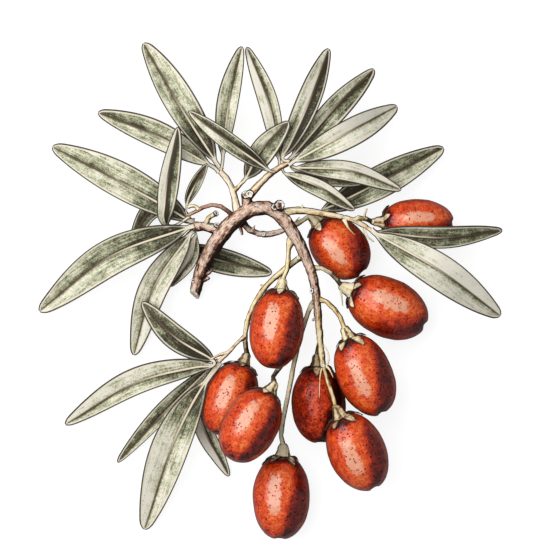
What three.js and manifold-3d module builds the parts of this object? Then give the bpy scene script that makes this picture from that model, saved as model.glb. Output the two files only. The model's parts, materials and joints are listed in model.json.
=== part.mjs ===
// A cut sprig of goji (Lycium barbarum) lying on a table: an arched woody branch with pruned
// stubs, thin leafy side shoots and ten ripe berries on their stalks.
// Millimetres, +Z up. The sprig lies on z = 0, centred over its origin, with the berry end
// towards -Y. Its leaves, twigs and berries grew as one plant, so nothing on it moves.

import * as THREE from 'three';
import { mergeVertices } from 'three/addons/utils/BufferGeometryUtils.js';
import Module from 'manifold-3d';

const wasm = await Module();
wasm.setup();

// Driving dimensions

const GAP = 0.3;                 // clearance left between two pieces that grow together
const LEAF_THICKNESS = 0.5;
const LEAF_FOLD = 0.28;          // rise of the leaf's edges over its midrib, per unit of half width
const LEAF_STEPS = 10;
const LEAF_FULLNESS = 0.62;      // less is fuller towards both ends of the blade
const LEAF_WIDEST = 0.9;         // 1 is widest at the middle, less is widest nearer the foot
const PETIOLE_WIDTH = 0.9;
const TIP_WIDTH = 1.1;
const BERRY_SIDES = 14;
const BERRY_RINGS = 10;
const BERRY_FULLNESS = 2.08;     // 2 is an ellipse, more is squarer in the shoulders
const BERRY_DIMPLE = 0.6;        // depth of the dent at each end of a berry
const CALYX_REACH = 3;           // length of the calyx behind the end of its berry
const CALYX_LAP = 1.2;           // length of the calyx over the shoulders of its berry
const CALYX_RIM = 2.5;           // radius of the calyx at its open rim
const CALYX_SIDES = 10;
const STALK_LAP = 0.4;           // how far a stalk runs on inside its calyx
const STALK_RADIUS = 0.65;
const TUBE_STEP = 2.4;           // length of one straight step along a twig
const BRANCH_SIDES = 12;
const TWIG_SIDES = 8;

const UP = new THREE.Vector3(0, 0, 1);
const POLE_RADIUS = 1e-6;        // a vertex nearer to the axis than this is a pole

const COLOURS = {
  paleLeaf: { color: 0xc3c8a8, roughness: 0.62 },
  darkLeaf: { color: 0x5f5f49, roughness: 0.62 },
  berry: { color: 0xc93a14, roughness: 0.3 },
  stalk: { color: 0xc9c088, roughness: 0.6 },
  twig: { color: 0xcda066, roughness: 0.7 },
  redShoot: { color: 0x6b3a33, roughness: 0.65 },
  bark: { color: 0x9a7566, roughness: 0.85 },
};

// Solids: closed meshes of merged vertices, joined and cut

function toSolid(geometry) {
  const bare = geometry.clone();
  bare.deleteAttribute('normal');
  bare.deleteAttribute('uv');
  const merged = mergeVertices(bare);
  const vertProperties = new Float32Array(merged.attributes.position.array);
  const triVerts = new Uint32Array(merged.index.array);
  return new wasm.Manifold(new wasm.Mesh({ numProp: 3, vertProperties, triVerts }));
}

function toGeometry(solid) {
  const { vertProperties, triVerts } = solid.getMesh();
  const geometry = new THREE.BufferGeometry();
  geometry.setAttribute('position', new THREE.BufferAttribute(vertProperties, 3));
  geometry.setIndex(new THREE.BufferAttribute(triVerts, 1));
  geometry.computeVertexNormals();
  return geometry;
}

// Lays a straight geometry, one unit long in x, along a curve. offset(u, y, z) says how far
// a vertex stands ahead of its point on the curve, to the left of it and above it.

function layAlong(geometry, curve, offset, roll = 0) {
  const position = geometry.attributes.position;
  for (let i = 0; i < position.count; i++) {
    const u = THREE.MathUtils.clamp(position.getX(i) + 0.5, 0, 1);
    const ahead = curve.getTangentAt(u);
    const left = UP.clone().cross(ahead).normalize();
    left.applyAxisAngle(ahead, THREE.MathUtils.degToRad(roll));
    const above = ahead.clone().cross(left);
    const [onwards, sideways, upwards] = offset(u, position.getY(i), position.getZ(i));
    const place = curve.getPointAt(u).addScaledVector(ahead, onwards);
    place.addScaledVector(left, sideways).addScaledVector(above, upwards);
    position.setXYZ(i, place.x, place.y, place.z);
  }
  return geometry;
}

function curveThrough(points) {
  return new THREE.CatmullRomCurve3(points.map((point) => new THREE.Vector3(...point)));
}

// A round twig. Its radii stand at even distances from its start to its end, and a grown one is
// fatter and longer by the same amount all over.

function tube(points, radii, grow = 0, sides = TWIG_SIDES) {
  const curve = curveThrough(points);
  const steps = Math.max(2, Math.round(curve.getLength() / TUBE_STEP));
  const straight = new THREE.CylinderGeometry(1, 1, 1, sides, steps).rotateZ(-Math.PI / 2);
  return layAlong(straight, curve, (u, y, z) => {
    const place = u * (radii.length - 1);
    const before = Math.min(Math.floor(place), radii.length - 2);
    const radius = THREE.MathUtils.lerp(radii[before], radii[before + 1], place - before) + grow;
    const longer = u === 0 ? -grow : u === 1 ? grow : 0;
    return [longer, radius * y, radius * z];
  });
}

// Woody parts. Each run is a list of centre points and a list of radii; the first run of a
// piece is the piece itself, and any others are stubs grown out of it.

const WOOD = {
  main_branch: {
    look: COLOURS.bark,
    sides: BRANCH_SIDES,
    runs: [
      [[[-19.1, -1.9, 1.8], [-18.2, 2.1, 3.1], [-16.6, 6.6, 5.2], [-13.5, 12.4, 8.2],
        [-8.6, 18.1, 11.2], [-3.9, 20.8, 12.8], [0.6, 20.6, 13.4], [4.9, 16.2, 13.6],
        [8.4, 10, 13.6], [10.7, 3.9, 13.6], [11.7, -2.4, 13.6], [12.3, -9.9, 13.6],
        [13.2, -18.6, 13.6]],
      [1.35, 1.8, 2.15, 1.95, 1.8, 1.45, 1.15, 0.9, 0.75]],
      [[[-5.2, 20.2, 12.4], [-5.6, 22.4, 12.9], [-5.8, 24.7, 13.3]], [1.5, 1.25]],
      [[[1, 20.6, 13.3], [2.7, 21.9, 15.6]], [1.4, 1.2]],
      [[[-17.4, 3.2, 3.8], [-14.9, 3.7, 4.6]], [0.9, 0.5]],
    ],
  },
  left_twig: {
    look: COLOURS.bark,
    parent: 'main_branch',
    runs: [
      [[[-11.3, 15.5, 9.4], [-14.8, 16.4, 8.9], [-19.1, 16.5, 8.8]], [1.2, 1.05, 1.35]],
      [[[-16.2, 16.7, 9], [-15, 18.8, 10.2], [-13.1, 19.8, 10.8]], [0.75, 0.7]],
    ],
  },
  red_shoot: {
    look: COLOURS.redShoot,
    parent: 'main_branch',
    runs: [
      [[[-8.9, 18.6, 11.4], [-11.2, 20.9, 12.9], [-13.6, 21.8, 13.2], [-16.2, 21.3, 12.7],
        [-18.6, 20, 11.4], [-20.3, 19.2, 10.7]], [0.65, 0.5]],
    ],
  },
  upper_left_twig: {
    look: COLOURS.twig,
    parent: 'main_branch',
    runs: [
      [[[-8.3, 18.6, 11.3], [-8.7, 23.4, 11.5], [-9.6, 26.4, 11.1], [-11.1, 28.9, 10.6],
        [-12.4, 30.3, 10.1]], [1, 0.75]],
    ],
  },
  upper_left_side_twig: {
    look: COLOURS.twig,
    parent: 'upper_left_twig',
    runs: [
      [[[-8.8, 24.6, 11.4], [-7.7, 26.4, 12], [-6.6, 27.6, 12.3]], [0.6, 0.5]],
    ],
  },
  upper_right_twig: {
    look: COLOURS.twig,
    parent: 'main_branch',
    runs: [
      [[[-5.4, 23.4, 13], [-3.6, 25.8, 13.5], [-1.2, 28.3, 13.9], [1.7, 30.6, 14.1],
        [4.8, 32.3, 14.3]], [1.05, 0.75]],
    ],
  },
  right_twig: {
    look: COLOURS.twig,
    parent: 'main_branch',
    runs: [
      [[[2, 19.8, 13.4], [7.5, 20.4, 12.7], [14.9, 19.3, 12.2], [19.9, 18.3, 11.9], [23.1, 16.8, 11.6],
        [25.4, 15.4, 11.4]], [1.1, 0.6]],
    ],
  },
  back_twig: {
    look: COLOURS.bark,
    parent: 'main_branch',
    runs: [
      [[[-7.2, 19, 11.2], [-6.2, 16.8, 9], [-4.4, 15.2, 7.7], [-1.2, 14.4, 7.1], [2.6, 15.2, 7.3],
        [6.6, 17, 7.8]], [0.95, 0.75]],
    ],
  },
  lower_twig: {
    look: COLOURS.stalk,
    parent: 'main_branch',
    runs: [
      [[[8.8, 9.4, 13.5], [5.9, 7.6, 11.4], [2.9, 5.1, 10], [-0.7, 1.9, 9.6], [-3.5, -2.2, 9.5],
        [-5.2, -5.9, 9.5], [-5.8, -7.6, 9.5]], [0.85, 0.7]],
    ],
  },
};

// Berries. A stalk end and a tip in plan, the width, the height of the underside above the
// table, and how much higher the stalk end is than the tip.

const BERRIES = [
  { stalkEnd: [27.9, 17.6], tip: [46, 17.4], width: 11.7, above: 0, rise: 4 },
  { stalkEnd: [11.8, 17.3], tip: [23.3, 4.7], width: 13.6, above: 0, rise: 1.5 },
  { stalkEnd: [20, 0.7], tip: [39, -8.3], width: 14.7, above: 0, rise: 3 },
  { stalkEnd: [2.9, 0.8], tip: [0.5, -19], width: 13.5, above: 8, rise: -2 },
  { stalkEnd: [19.5, -11], tip: [28, -30.3], width: 13.9, above: 5.5, rise: 3 },
  { stalkEnd: [-6.6, -17.6], tip: [-13.5, -35.6], width: 13.3, above: 0, rise: -2 },
  { stalkEnd: [-0.1, -24.5], tip: [-9.8, -41.4], width: 13.8, above: 12, rise: -3 },
  { stalkEnd: [11.8, -18.1], tip: [12.5, -37.8], width: 13.6, above: 0, rise: 0 },
  { stalkEnd: [17.4, -30.5], tip: [26.1, -48.7], width: 14.2, above: 6.6, rise: 5 },
  { stalkEnd: [3.2, -40.4], tip: [2.4, -61.8], width: 14.2, above: 0, rise: 1 },
];

// Berry stalks, from the wood that they grow on to just behind the calyx.

const STALKS = [
  { parent: 'right_twig', points: [[19.6, 18.4, 11.9], [22.6, 18.6, 11.2], [24.4, 18.2, 9.8]] },
  { parent: 'back_twig', points: [[6.6, 17, 7.8], [8.6, 18.2, 8.3]] },
  { parent: 'main_branch', points: [[10.3, 6.6, 13.6], [13.2, 6, 13.2], [15.7, 4.4, 12.2]] },
  { parent: 'main_branch', points: [[4.9, 15.6, 13.6], [4.7, 12, 13.5], [4.5, 7.1, 13.5],
    [3.9, 4.4, 13.5]] },
  { parent: 'main_branch', points: [[11.8, -0.8, 13.6], [14.8, -2.8, 14], [17.2, -5.6, 14.4]] },
  { parent: 'lower_twig', points: [[-5.8, -7.6, 9.5], [-6.1, -10.4, 9], [-6.1, -12.7, 7.6]] },
  { parent: 'stalk_10', points: [[7.9, -10, 9.9], [5.6, -13.2, 8.4], [3.8, -16.2, 8.2],
    [2.6, -18.5, 9], [0.9, -20.6, 11.8]] },
  { parent: 'main_branch', points: [[12.7, -9.6, 13.6], [12.5, -12, 11.4], [12, -13.8, 8.6]] },
  { parent: 'main_branch', points: [[13.1, -18, 13.6], [14.4, -21.9, 14.4], [15.5, -25.4, 15.2]] },
  { parent: 'main_branch', points: [[11.4, -0.8, 13.4], [9.8, -4.2, 11.2], [8.3, -8.6, 10],
    [6.9, -13.6, 9.6], [5.8, -18.6, 9.6], [4.9, -23.6, 9.4], [3.9, -28.6, 8.8], [3, -33.4, 8.2],
    [2.8, -36.2, 8]] },
];
const STALK_ORDER = [1, 2, 3, 4, 5, 6, 8, 9, 10, 7];   // a stalk comes after the one it grows on

// The shoot that bears the lower leaves grows on a berry stalk.

const SIDE_SHOOT = {
  look: COLOURS.twig,
  parent: 'stalk_6',
  runs: [
    [[[-6.1, -10.4, 9], [-8.5, -12.9, 9.7], [-10.3, -14.9, 9.9], [-12.8, -17.2, 9.8]], [0.55, 0.5]],
    [[[-10.1, -14.7, 9.9], [-12.4, -15.4, 10.3], [-14.6, -16.5, 10.6]], [0.4, 0.35]],
  ],
};

// Leaves. Width, then the points of the midrib from the twig to the leaf's tip. roll turns the
// blade about its midrib, left edge up; petiole is the share of the length that has no blade; lean
// is how much wider the left half is than the right.

const LEAVES = {
  left_twig: [
    { width: 9, lean: -0.12, midrib: [[-19.6, 17.8, 9], [-37, 27.4, 6.3], [-54.3, 36.4, 1]] },
    { width: 9.2, lean: 0.05, midrib: [[-19.9, 16.3, 9.4], [-39.5, 9.1, 8.7], [-57.5, -4.6, 1.2]] },
    { width: 7.4, midrib: [[-19.4, 15, 8.6], [-29, 1.1, 4.8], [-34, -15.6, 0.8]] },
    { width: 3.6, midrib: [[-18.4, 14.9, 8], [-19.7, 8.6, 4.4], [-24.8, 1.6, 2.6]] },
    { width: 5.2, lean: -0.25, petiole: 0.22, midrib: [[-19.9, 15.8, 7.7], [-24.2, 15.4, 6.9],
      [-26.3, 17.4, 9], [-26.3, 20.4, 11.4], [-25.5, 27.8, 12.6], [-22.8, 41.1, 13]] },
    { width: 4.8, dark: true, midrib: [[-18.8, 16.9, 7.2], [-24.2, 20.6, 5], [-29.2, 20.8, 3.6],
      [-34.9, 12.2, 1.3]] },
    { width: 6.6, petiole: 0.17, dark: true, midrib: [[-18.7, 15.2, 7.2], [-21.4, 11.9, 4.2],
      [-17.5, 9.6, 2], [-8.8, 7.1, 1.4], [0.5, 4.9, 1]] },
  ],
  red_shoot: [
    { width: 3, petiole: 0.15, dark: true, midrib: [[-20.8, 19.8, 10.8], [-20.5, 22.4, 10.9],
      [-18.3, 27.2, 11.2], [-15.5, 32.1, 11.8]] },
  ],
  upper_left_twig: [
    { width: 6.9, lean: -0.14, petiole: 0.07, midrib: [[-13.3, 30.7, 9.8], [-27.5, 38.6, 8.2],
      [-42.8, 44.9, 2]] },
    { width: 7.9, lean: -0.17, petiole: 0.05, midrib: [[-12.8, 31.5, 10.4], [-22.5, 46.6, 11.2],
      [-31.5, 62.1, 3]] },
    { width: 5.5, lean: 0.15, petiole: 0.09, midrib: [[-11.9, 31.5, 10.6], [-10.2, 46.6, 11.4],
      [-7, 61.2, 5.4]] },
  ],
  upper_left_side_twig: [
    { width: 6.4, lean: -0.2, midrib: [[-6.1, 28.2, 12.3], [-2, 35.6, 14.5], [4.8, 42.4, 17.4]] },
  ],
  upper_right_twig: [
    { width: 4.6, dark: true, midrib: [[0.1, 30.1, 15], [-10, 37.2, 17], [-20, 44.9, 13.7]] },
    { width: 5, midrib: [[2.4, 32.4, 14], [-0.2, 46.6, 12], [-5.7, 61.1, 4.2]] },
    { width: 6, lean: 0.1, dark: true, midrib: [[3.2, 33, 14.6], [9.6, 46.9, 14.6], [14.6, 60.6, 6]] },
    { width: 6.4, lean: -0.18, dark: true, midrib: [[5.2, 33.4, 13.6], [16.2, 46.1, 12],
      [25.8, 55.6, 4.5]] },
    { width: 7.1, lean: -0.14, midrib: [[5.9, 32.5, 14.6], [18.2, 39.1, 15.2], [31.5, 46.4, 4]] },
    { width: 5.2, lean: -0.1, midrib: [[6, 31.1, 13.9], [20, 30.2, 13.6], [32.5, 25.6, 9]] },
    { width: 3.8, dark: true, midrib: [[5.6, 30.7, 12.6], [14, 28.4, 11.6], [23, 27.1, 9.9]] },
    { width: 4.4, lean: -0.2, midrib: [[3.6, 29.7, 13.2], [13, 25.9, 13.2], [21, 20.6, 11]] },
  ],
  right_twig: [
    { width: 8.2, dark: true, midrib: [[13.2, 20.3, 10.6], [27.5, 27.6, 7.4], [43.3, 36.1, 2]] },
    { width: 6, lean: 0.1, dark: true, roll: 20, midrib: [[26.2, 15.3, 11.3], [42.5, 13.8, 11.6],
      [57.8, 15.6, 5]] },
    { width: 8.9, lean: -0.07, midrib: [[26, 14.8, 12], [42, 5.6, 12.2], [57.4, -5.7, 2]] },
  ],
  lower_side_twig: [
    { width: 6.3, dark: true, midrib: [[-13.5, -17, 9.3], [-23.8, -10.9, 7.9], [-31.8, -2.4, 5.4]] },
    { width: 6.8, lean: -0.14, midrib: [[-13.7, -17.5, 10.6], [-32.5, -22.1, 9.3], [-51, -32.9, 1]] },
    { width: 4.5, lean: -0.25, dark: true, midrib: [[-14.1, -18.1, 8.8], [-26.2, -29.9, 4.6],
      [-38, -42.4, 0.7]] },
    { width: 9.5, lean: -0.08, petiole: 0.11, midrib: [[-13.2, -18.4, 9.7], [-17.6, -24.7, 9.7],
      [-24, -37.4, 7.8], [-31.3, -59.1, 0.9]] },
    { width: 4.6, petiole: 0.3, dark: true, midrib: [[-12.9, -18.3, 8.6], [-16.3, -22.2, 5.2],
      [-17.9, -28.2, 2.6], [-16.4, -34.4, 1], [-12.8, -41.1, 0.6], [-10.2, -45.9, 0.6]] },
  ],
};

const LEAF_NAMES = {
  left_twig: 'left_leaf',
  red_shoot: 'red_shoot_leaf',
  upper_left_twig: 'upper_left_leaf',
  upper_left_side_twig: 'side_leaf',
  upper_right_twig: 'upper_right_leaf',
  right_twig: 'right_leaf',
  lower_side_twig: 'lower_leaf',
};

function leafGeometry({ width, midrib, roll = 0, petiole = 0.02, lean = 0 }) {
  const flat = new THREE.BoxGeometry(1, 1, 1, LEAF_STEPS, 2, 1);
  return layAlong(flat, curveThrough(midrib), (u, y, z) => {
    const along = THREE.MathUtils.clamp((u - petiole) / (1 - petiole), 0, 1);
    const blade = width * Math.sin(Math.PI * along ** LEAF_WIDEST) ** LEAF_FULLNESS;
    const least = u < 0.5 ? PETIOLE_WIDTH : TIP_WIDTH;
    const across = Math.max(blade * (1 + lean * Math.sign(y)), least) * y;
    return [0, across, z * LEAF_THICKNESS + Math.abs(across) * LEAF_FOLD];
  }, roll);
}

// A berry about its own middle, with its stalk end towards +Y.

function berryGeometry(length, width) {
  const ball = new THREE.SphereGeometry(1, BERRY_SIDES, BERRY_RINGS);
  const position = ball.attributes.position;
  for (let i = 0; i < position.count; i++) {
    const height = position.getY(i);
    const ring = Math.sqrt(1 - Math.min(1, height * height));
    const full = (1 - Math.min(1, Math.abs(height) ** BERRY_FULLNESS)) ** (1 / BERRY_FULLNESS);
    const isPole = ring < POLE_RADIUS;
    const scale = isPole ? 0 : full / ring * width / 2;
    const dent = isPole ? BERRY_DIMPLE * Math.sign(height) : 0;
    position.setXYZ(i, position.getX(i) * scale, height * length / 2 - dent, position.getZ(i) * scale);
  }
  ball.computeVertexNormals();
  return ball;
}

function placeBerry({ stalkEnd, tip, width, above, rise }) {
  const axis = new THREE.Vector3(stalkEnd[0] - tip[0], stalkEnd[1] - tip[1], rise);
  const length = axis.length();
  axis.normalize();
  const turn = new THREE.Quaternion().setFromUnitVectors(new THREE.Vector3(0, 1, 0), axis);
  const lowest = new THREE.Box3().setFromBufferAttribute(
    berryGeometry(length, width).applyQuaternion(turn).attributes.position).min.z;
  const middle = new THREE.Vector3((stalkEnd[0] + tip[0]) / 2, (stalkEnd[1] + tip[1]) / 2, above - lowest);
  return { axis, length, width, turn, middle, end: middle.clone().addScaledVector(axis, length / 2) };
}

// A stalk ends in a calyx, a funnel that sits over the shoulders of its berry.

function stalkSolid(points, berry, grow = 0) {
  const calyxLength = CALYX_REACH + CALYX_LAP;
  const funnel = new THREE.CylinderGeometry(
    STALK_RADIUS + grow, CALYX_RIM + grow, calyxLength, CALYX_SIDES, 1);
  funnel.applyQuaternion(berry.turn);
  const centre = berry.end.clone().addScaledVector(berry.axis, (CALYX_REACH - CALYX_LAP) / 2);
  funnel.translate(centre.x, centre.y, centre.z);
  const socket = berry.end.clone().addScaledVector(berry.axis, CALYX_REACH - STALK_LAP);
  const stem = tube([...points, socket.toArray()], [STALK_RADIUS, STALK_RADIUS], grow);
  return toSolid(stem).add(toSolid(funnel));
}

function berryClearance(berry) {
  const grown = berryGeometry(berry.length + 2 * GAP, berry.width + 2 * GAP);
  grown.applyQuaternion(berry.turn).translate(berry.middle.x, berry.middle.y, berry.middle.z);
  return toSolid(grown);
}

// Building

const sprig = new THREE.Group();
const clearances = {};           // each woody piece or stalk, grown by the gap

function add(name, geometry, look) {
  const material = new THREE.MeshStandardMaterial({ ...look, metalness: 0 });
  const mesh = new THREE.Mesh(geometry, material);
  mesh.name = name;
  sprig.add(mesh);
  return mesh;
}

function addWood(name, { look, parent, sides, runs }) {
  const join = (grow) => runs
    .map(([points, radii]) => toSolid(tube(points, radii, grow, sides)))
    .reduce((whole, run) => whole.add(run));
  const solid = parent ? join(0).subtract(clearances[parent]) : join(0);
  clearances[name] = join(GAP);
  add(name, toGeometry(solid), look);
}

for (const [name, piece] of Object.entries(WOOD)) addWood(name, piece);

const berries = BERRIES.map(placeBerry);
berries.forEach((berry, index) => {
  const mesh = add(`berry_${index + 1}`, berryGeometry(berry.length, berry.width), COLOURS.berry);
  mesh.position.copy(berry.middle);
  mesh.quaternion.copy(berry.turn);
});

for (const number of STALK_ORDER) {
  const { parent, points } = STALKS[number - 1];
  const berry = berries[number - 1];
  const name = `stalk_${number}`;
  const solid = stalkSolid(points, berry).subtract(clearances[parent]).subtract(berryClearance(berry));
  clearances[name] = stalkSolid(points, berry, GAP);
  add(name, toGeometry(solid), COLOURS.stalk);
}

addWood('lower_side_twig', SIDE_SHOOT);

for (const [twig, leaves] of Object.entries(LEAVES)) {
  leaves.forEach((leaf, index) => {
    const solid = toSolid(leafGeometry(leaf)).subtract(clearances[twig]);
    const name = leaves.length > 1 ? `${LEAF_NAMES[twig]}_${index + 1}` : LEAF_NAMES[twig];
    add(name, toGeometry(solid), leaf.dark ? COLOURS.darkLeaf : COLOURS.paleLeaf);
  });
}

// Centred over the origin, as it lies

const middle = new THREE.Box3().setFromObject(sprig, true).getCenter(new THREE.Vector3());
sprig.position.set(-middle.x, -middle.y, 0);

export default sprig;
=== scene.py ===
# %% [markdown]
# A cut sprig of goji, lying on a pale table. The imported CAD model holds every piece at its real
# size: the arched branch and its twigs, ten berries on their stalks, and the leaves. Here each of
# those plain solids gets the looks of the real thing. A piece reads its place from the CAD node that
# it stands for, or from the one that it grows on.

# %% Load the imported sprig
import heapq
import json
import math
from contextlib import contextmanager

import bmesh
import bpy
import numpy as np
from mathutils import Matrix, Vector
from mathutils.bvhtree import BVHTree
from mathutils.kdtree import KDTree

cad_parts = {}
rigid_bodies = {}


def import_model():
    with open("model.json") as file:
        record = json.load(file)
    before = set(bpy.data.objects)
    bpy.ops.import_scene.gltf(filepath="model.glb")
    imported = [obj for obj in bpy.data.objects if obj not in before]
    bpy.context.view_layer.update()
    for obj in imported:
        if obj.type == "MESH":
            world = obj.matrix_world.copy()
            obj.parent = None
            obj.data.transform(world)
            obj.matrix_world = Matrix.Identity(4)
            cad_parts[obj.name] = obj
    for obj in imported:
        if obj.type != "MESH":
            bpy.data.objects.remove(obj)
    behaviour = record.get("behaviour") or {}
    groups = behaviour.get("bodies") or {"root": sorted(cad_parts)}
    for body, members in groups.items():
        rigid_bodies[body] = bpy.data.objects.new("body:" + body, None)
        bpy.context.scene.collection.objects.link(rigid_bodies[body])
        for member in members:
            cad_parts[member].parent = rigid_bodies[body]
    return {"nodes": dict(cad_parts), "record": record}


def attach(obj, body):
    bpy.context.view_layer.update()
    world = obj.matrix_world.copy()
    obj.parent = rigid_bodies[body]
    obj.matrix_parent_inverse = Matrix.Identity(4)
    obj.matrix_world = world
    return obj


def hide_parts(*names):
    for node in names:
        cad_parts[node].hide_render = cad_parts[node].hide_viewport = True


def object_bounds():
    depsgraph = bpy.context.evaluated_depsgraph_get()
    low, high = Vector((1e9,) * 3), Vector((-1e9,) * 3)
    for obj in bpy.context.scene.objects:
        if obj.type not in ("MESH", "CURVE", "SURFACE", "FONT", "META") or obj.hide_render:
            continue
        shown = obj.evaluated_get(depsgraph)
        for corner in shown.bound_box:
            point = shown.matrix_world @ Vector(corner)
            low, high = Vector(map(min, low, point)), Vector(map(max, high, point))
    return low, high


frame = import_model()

MM = 0.001
NEAR = 1e-4
UP = Vector((0, 0, 1))
CAD_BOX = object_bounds()
print("CAD nodes:", len(frame["nodes"]), "box in mm:",
      [[round(value / MM, 1) for value in corner] for corner in CAD_BOX])

# %% [markdown]
# The sprig lies flat, so the camera looks straight down on it from far away through a long lens,
# which keeps the leaves' shapes true. The view covers a square of table 140 mm wide.

# %% Camera
SENSOR = 36
LENS = 400
VIEW_WIDTH = 140 * MM
VIEW_CENTRE = Vector((2.5 * MM, 2.6 * MM))
camera_height = VIEW_WIDTH * LENS / SENSOR
bpy.ops.object.camera_add(location=(*VIEW_CENTRE, camera_height), rotation=(0, 0, 0))
camera = bpy.context.object
camera.name = "camera"
camera.data.lens = LENS
camera.data.sensor_width = SENSOR
camera.data.clip_start = 0.1
camera.data.clip_end = 10
bpy.context.scene.camera = camera
print("camera height in m:", round(camera_height, 3))

# %% [markdown]
# A shader is a sum of small parts, so it is easiest to read as arithmetic. The class below wraps an
# output socket of a node: adding, multiplying or subtracting two wires adds the Math node that does
# it. Every other node comes from one method, which takes the node's type, its settings and what goes
# into its sockets.

# %% Wires between shader nodes
class Wire:
    """The output of a shader node, which can be used in a sum."""

    def __init__(self, socket):
        self.socket = socket

    @staticmethod
    def node(tree, kind, settings=None, inputs=None, output=0):
        made = tree.nodes.new(kind)
        for name, value in (settings or {}).items():
            if name == "stops":
                set_stops(made.color_ramp, value)
            else:
                setattr(made, name, value)
        for key, value in (inputs or {}).items():
            if isinstance(value, Wire):
                tree.links.new(value.socket, made.inputs[key])
            else:
                made.inputs[key].default_value = value
        return Wire(made.outputs[output])

    def maths(self, operation, *values, clamp=False):
        settings = {"operation": operation, "use_clamp": clamp}
        return Wire.node(self.socket.id_data, "ShaderNodeMath", settings, dict(enumerate(values)))

    def __add__(self, other):
        return self.maths("ADD", self, other)

    def __sub__(self, other):
        return self.maths("SUBTRACT", self, other)

    def __mul__(self, other):
        return self.maths("MULTIPLY", self, other)

    def __truediv__(self, other):
        return self.maths("DIVIDE", self, other)

    def __rsub__(self, other):
        return self.maths("SUBTRACT", other, self)

    __radd__ = __add__
    __rmul__ = __mul__

    def __abs__(self):
        return self.maths("ABSOLUTE", self)

    def clamped(self):
        return self.maths("ADD", self, 0, clamp=True)

    def ramp(self, low, high):
        """0 up to low, 1 from high on, and a smooth rise between. With low over high it falls."""
        settings = {"interpolation_type": "SMOOTHSTEP"}
        inputs = {"Value": self, "From Min": low, "From Max": high}
        return Wire.node(self.socket.id_data, "ShaderNodeMapRange", settings, inputs)


def set_stops(ramp, stops):
    while len(ramp.elements) < len(stops):
        ramp.elements.new(1)
    for element, (place, shade) in zip(ramp.elements, stops):
        element.position = place
        element.color = shade


# %% [markdown]
# Paint chips and colour pickers give colours as eight-bit sRGB, and shaders want linear light. The
# helper turns a hex colour into linear light, so each finish can be written as it looks.

# %% Colours and finishes
def colour(hexcode):
    """A hex colour as linear light, fully opaque."""
    channels = [int(hexcode[k:k + 2], 16) / 255 for k in (0, 2, 4)]
    linear = [c / 12.92 if c < 0.04045 else ((c + 0.055) / 1.055) ** 2.4 for c in channels]
    return (*linear, 1)


def ramp_stops(places, hexcodes):
    """The stops of a colour ramp, from their places and a line of hex colours."""
    return [(place, colour(hexcode)) for place, hexcode in zip(places, hexcodes.split())]


class Finish:
    """A material that is being made: its node tree, its shader and the parts that most use."""

    def __init__(self, name, roughness=0.6, specular=0.5, **constants):
        self.material = bpy.data.materials.new(name)
        self.material.use_nodes = True
        self.tree = self.material.node_tree
        self.shader = self.tree.nodes["Principled BSDF"]
        self.shader.inputs["Roughness"].default_value = roughness
        self.shader.inputs["Specular IOR Level"].default_value = specular
        for socket, value in constants.items():
            self.shader.inputs[socket.replace("_", " ")].default_value = value

    def node(self, kind, settings=None, inputs=None, output=0):
        return Wire.node(self.tree, kind, settings, inputs, output)

    def attribute(self, name, output="Fac"):
        return self.node("ShaderNodeAttribute", {"attribute_name": name}, output=output)

    def attributes(self, *names):
        return [self.attribute(name) for name in names]

    def place(self):
        """Where a point is on the object, in millimetres."""
        at = self.node("ShaderNodeTexCoord", output="Object")
        return self.node("ShaderNodeMapping", inputs={"Vector": at, "Scale": (1 / MM,) * 3})

    def noise(self, scale, detail=3, vector=None, roughness=0.5):
        """Cloudy noise from 0 to 1, with about scale clouds to a millimetre."""
        inputs = {"Vector": vector or self.place(), "Scale": scale, "Detail": detail,
                  "Roughness": roughness}
        return self.node("ShaderNodeTexNoise", inputs=inputs)

    def specks(self, scale, vector=None):
        """Distance to the nearest of many scattered points, about scale of them to a millimetre."""
        inputs = {"Vector": vector or self.place(), "Scale": scale}
        return self.node("ShaderNodeTexVoronoi", inputs=inputs, output="Distance")

    def mix(self, factor, first, second):
        """The first colour where factor is 0 and the second where it is 1."""
        inputs = {0: factor, 6: first, 7: second}
        return self.node("ShaderNodeMix", {"data_type": "RGBA"}, inputs, output=2)

    def coloured(self, depth, stops):
        """The colour that each depth has on a ramp of stops."""
        return self.node("ShaderNodeValToRGB", {"stops": stops}, {"Fac": depth.clamped()})

    def set(self, socket, wire):
        self.tree.links.new(wire.socket, self.shader.inputs[socket])

    def bump(self, height, distance):
        """Raises the surface by height, a wire, times distance, in millimetres."""
        inputs = {"Height": height, "Distance": distance * MM, "Strength": 1}
        self.set("Normal", self.node("ShaderNodeBump", inputs=inputs))


# %% [markdown]
# Plain studio light: a big soft lamp up on the left, so that every berry has one broad highlight
# and a dark right side, and an even pale sky that fills the shadows. To the camera the sky and the
# table are white, and the table still holds the sprig's soft shadow.

# %% Table, sky and lamp
SKY_LEVEL = 0.33
KEY_POWER = 6.2
KEY_SIZE = 0.85
KEY_DIRECTION = Vector((-0.50, 0.24, 0.84)).normalized()
KEY_DISTANCE = 0.75
TABLE_SIZE = 4
TABLE_GREY = 0.32
TABLE_GLOW = 0.85
WHITE = (1, 1, 1, 1)

world = bpy.data.worlds.new("sky")
bpy.context.scene.world = world
world.use_nodes = True
sky = world.node_tree.nodes["Background"]
sky.inputs["Color"].default_value = WHITE
sky.inputs["Strength"].default_value = SKY_LEVEL


def show_camera(tree, lit, shown, output):
    """Feeds an output with one shader, and with another where the camera looks at it directly."""
    to_camera = Wire.node(tree, "ShaderNodeLightPath", output="Is Camera Ray")
    both = Wire.node(tree, "ShaderNodeMixShader", inputs={0: to_camera, 1: lit, 2: shown})
    tree.links.new(both.socket, tree.nodes[output].inputs["Surface"])


backdrop = Wire.node(world.node_tree, "ShaderNodeBackground", inputs={"Color": WHITE, "Strength": 1})
show_camera(world.node_tree, Wire(sky.outputs[0]), backdrop, "World Output")

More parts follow.
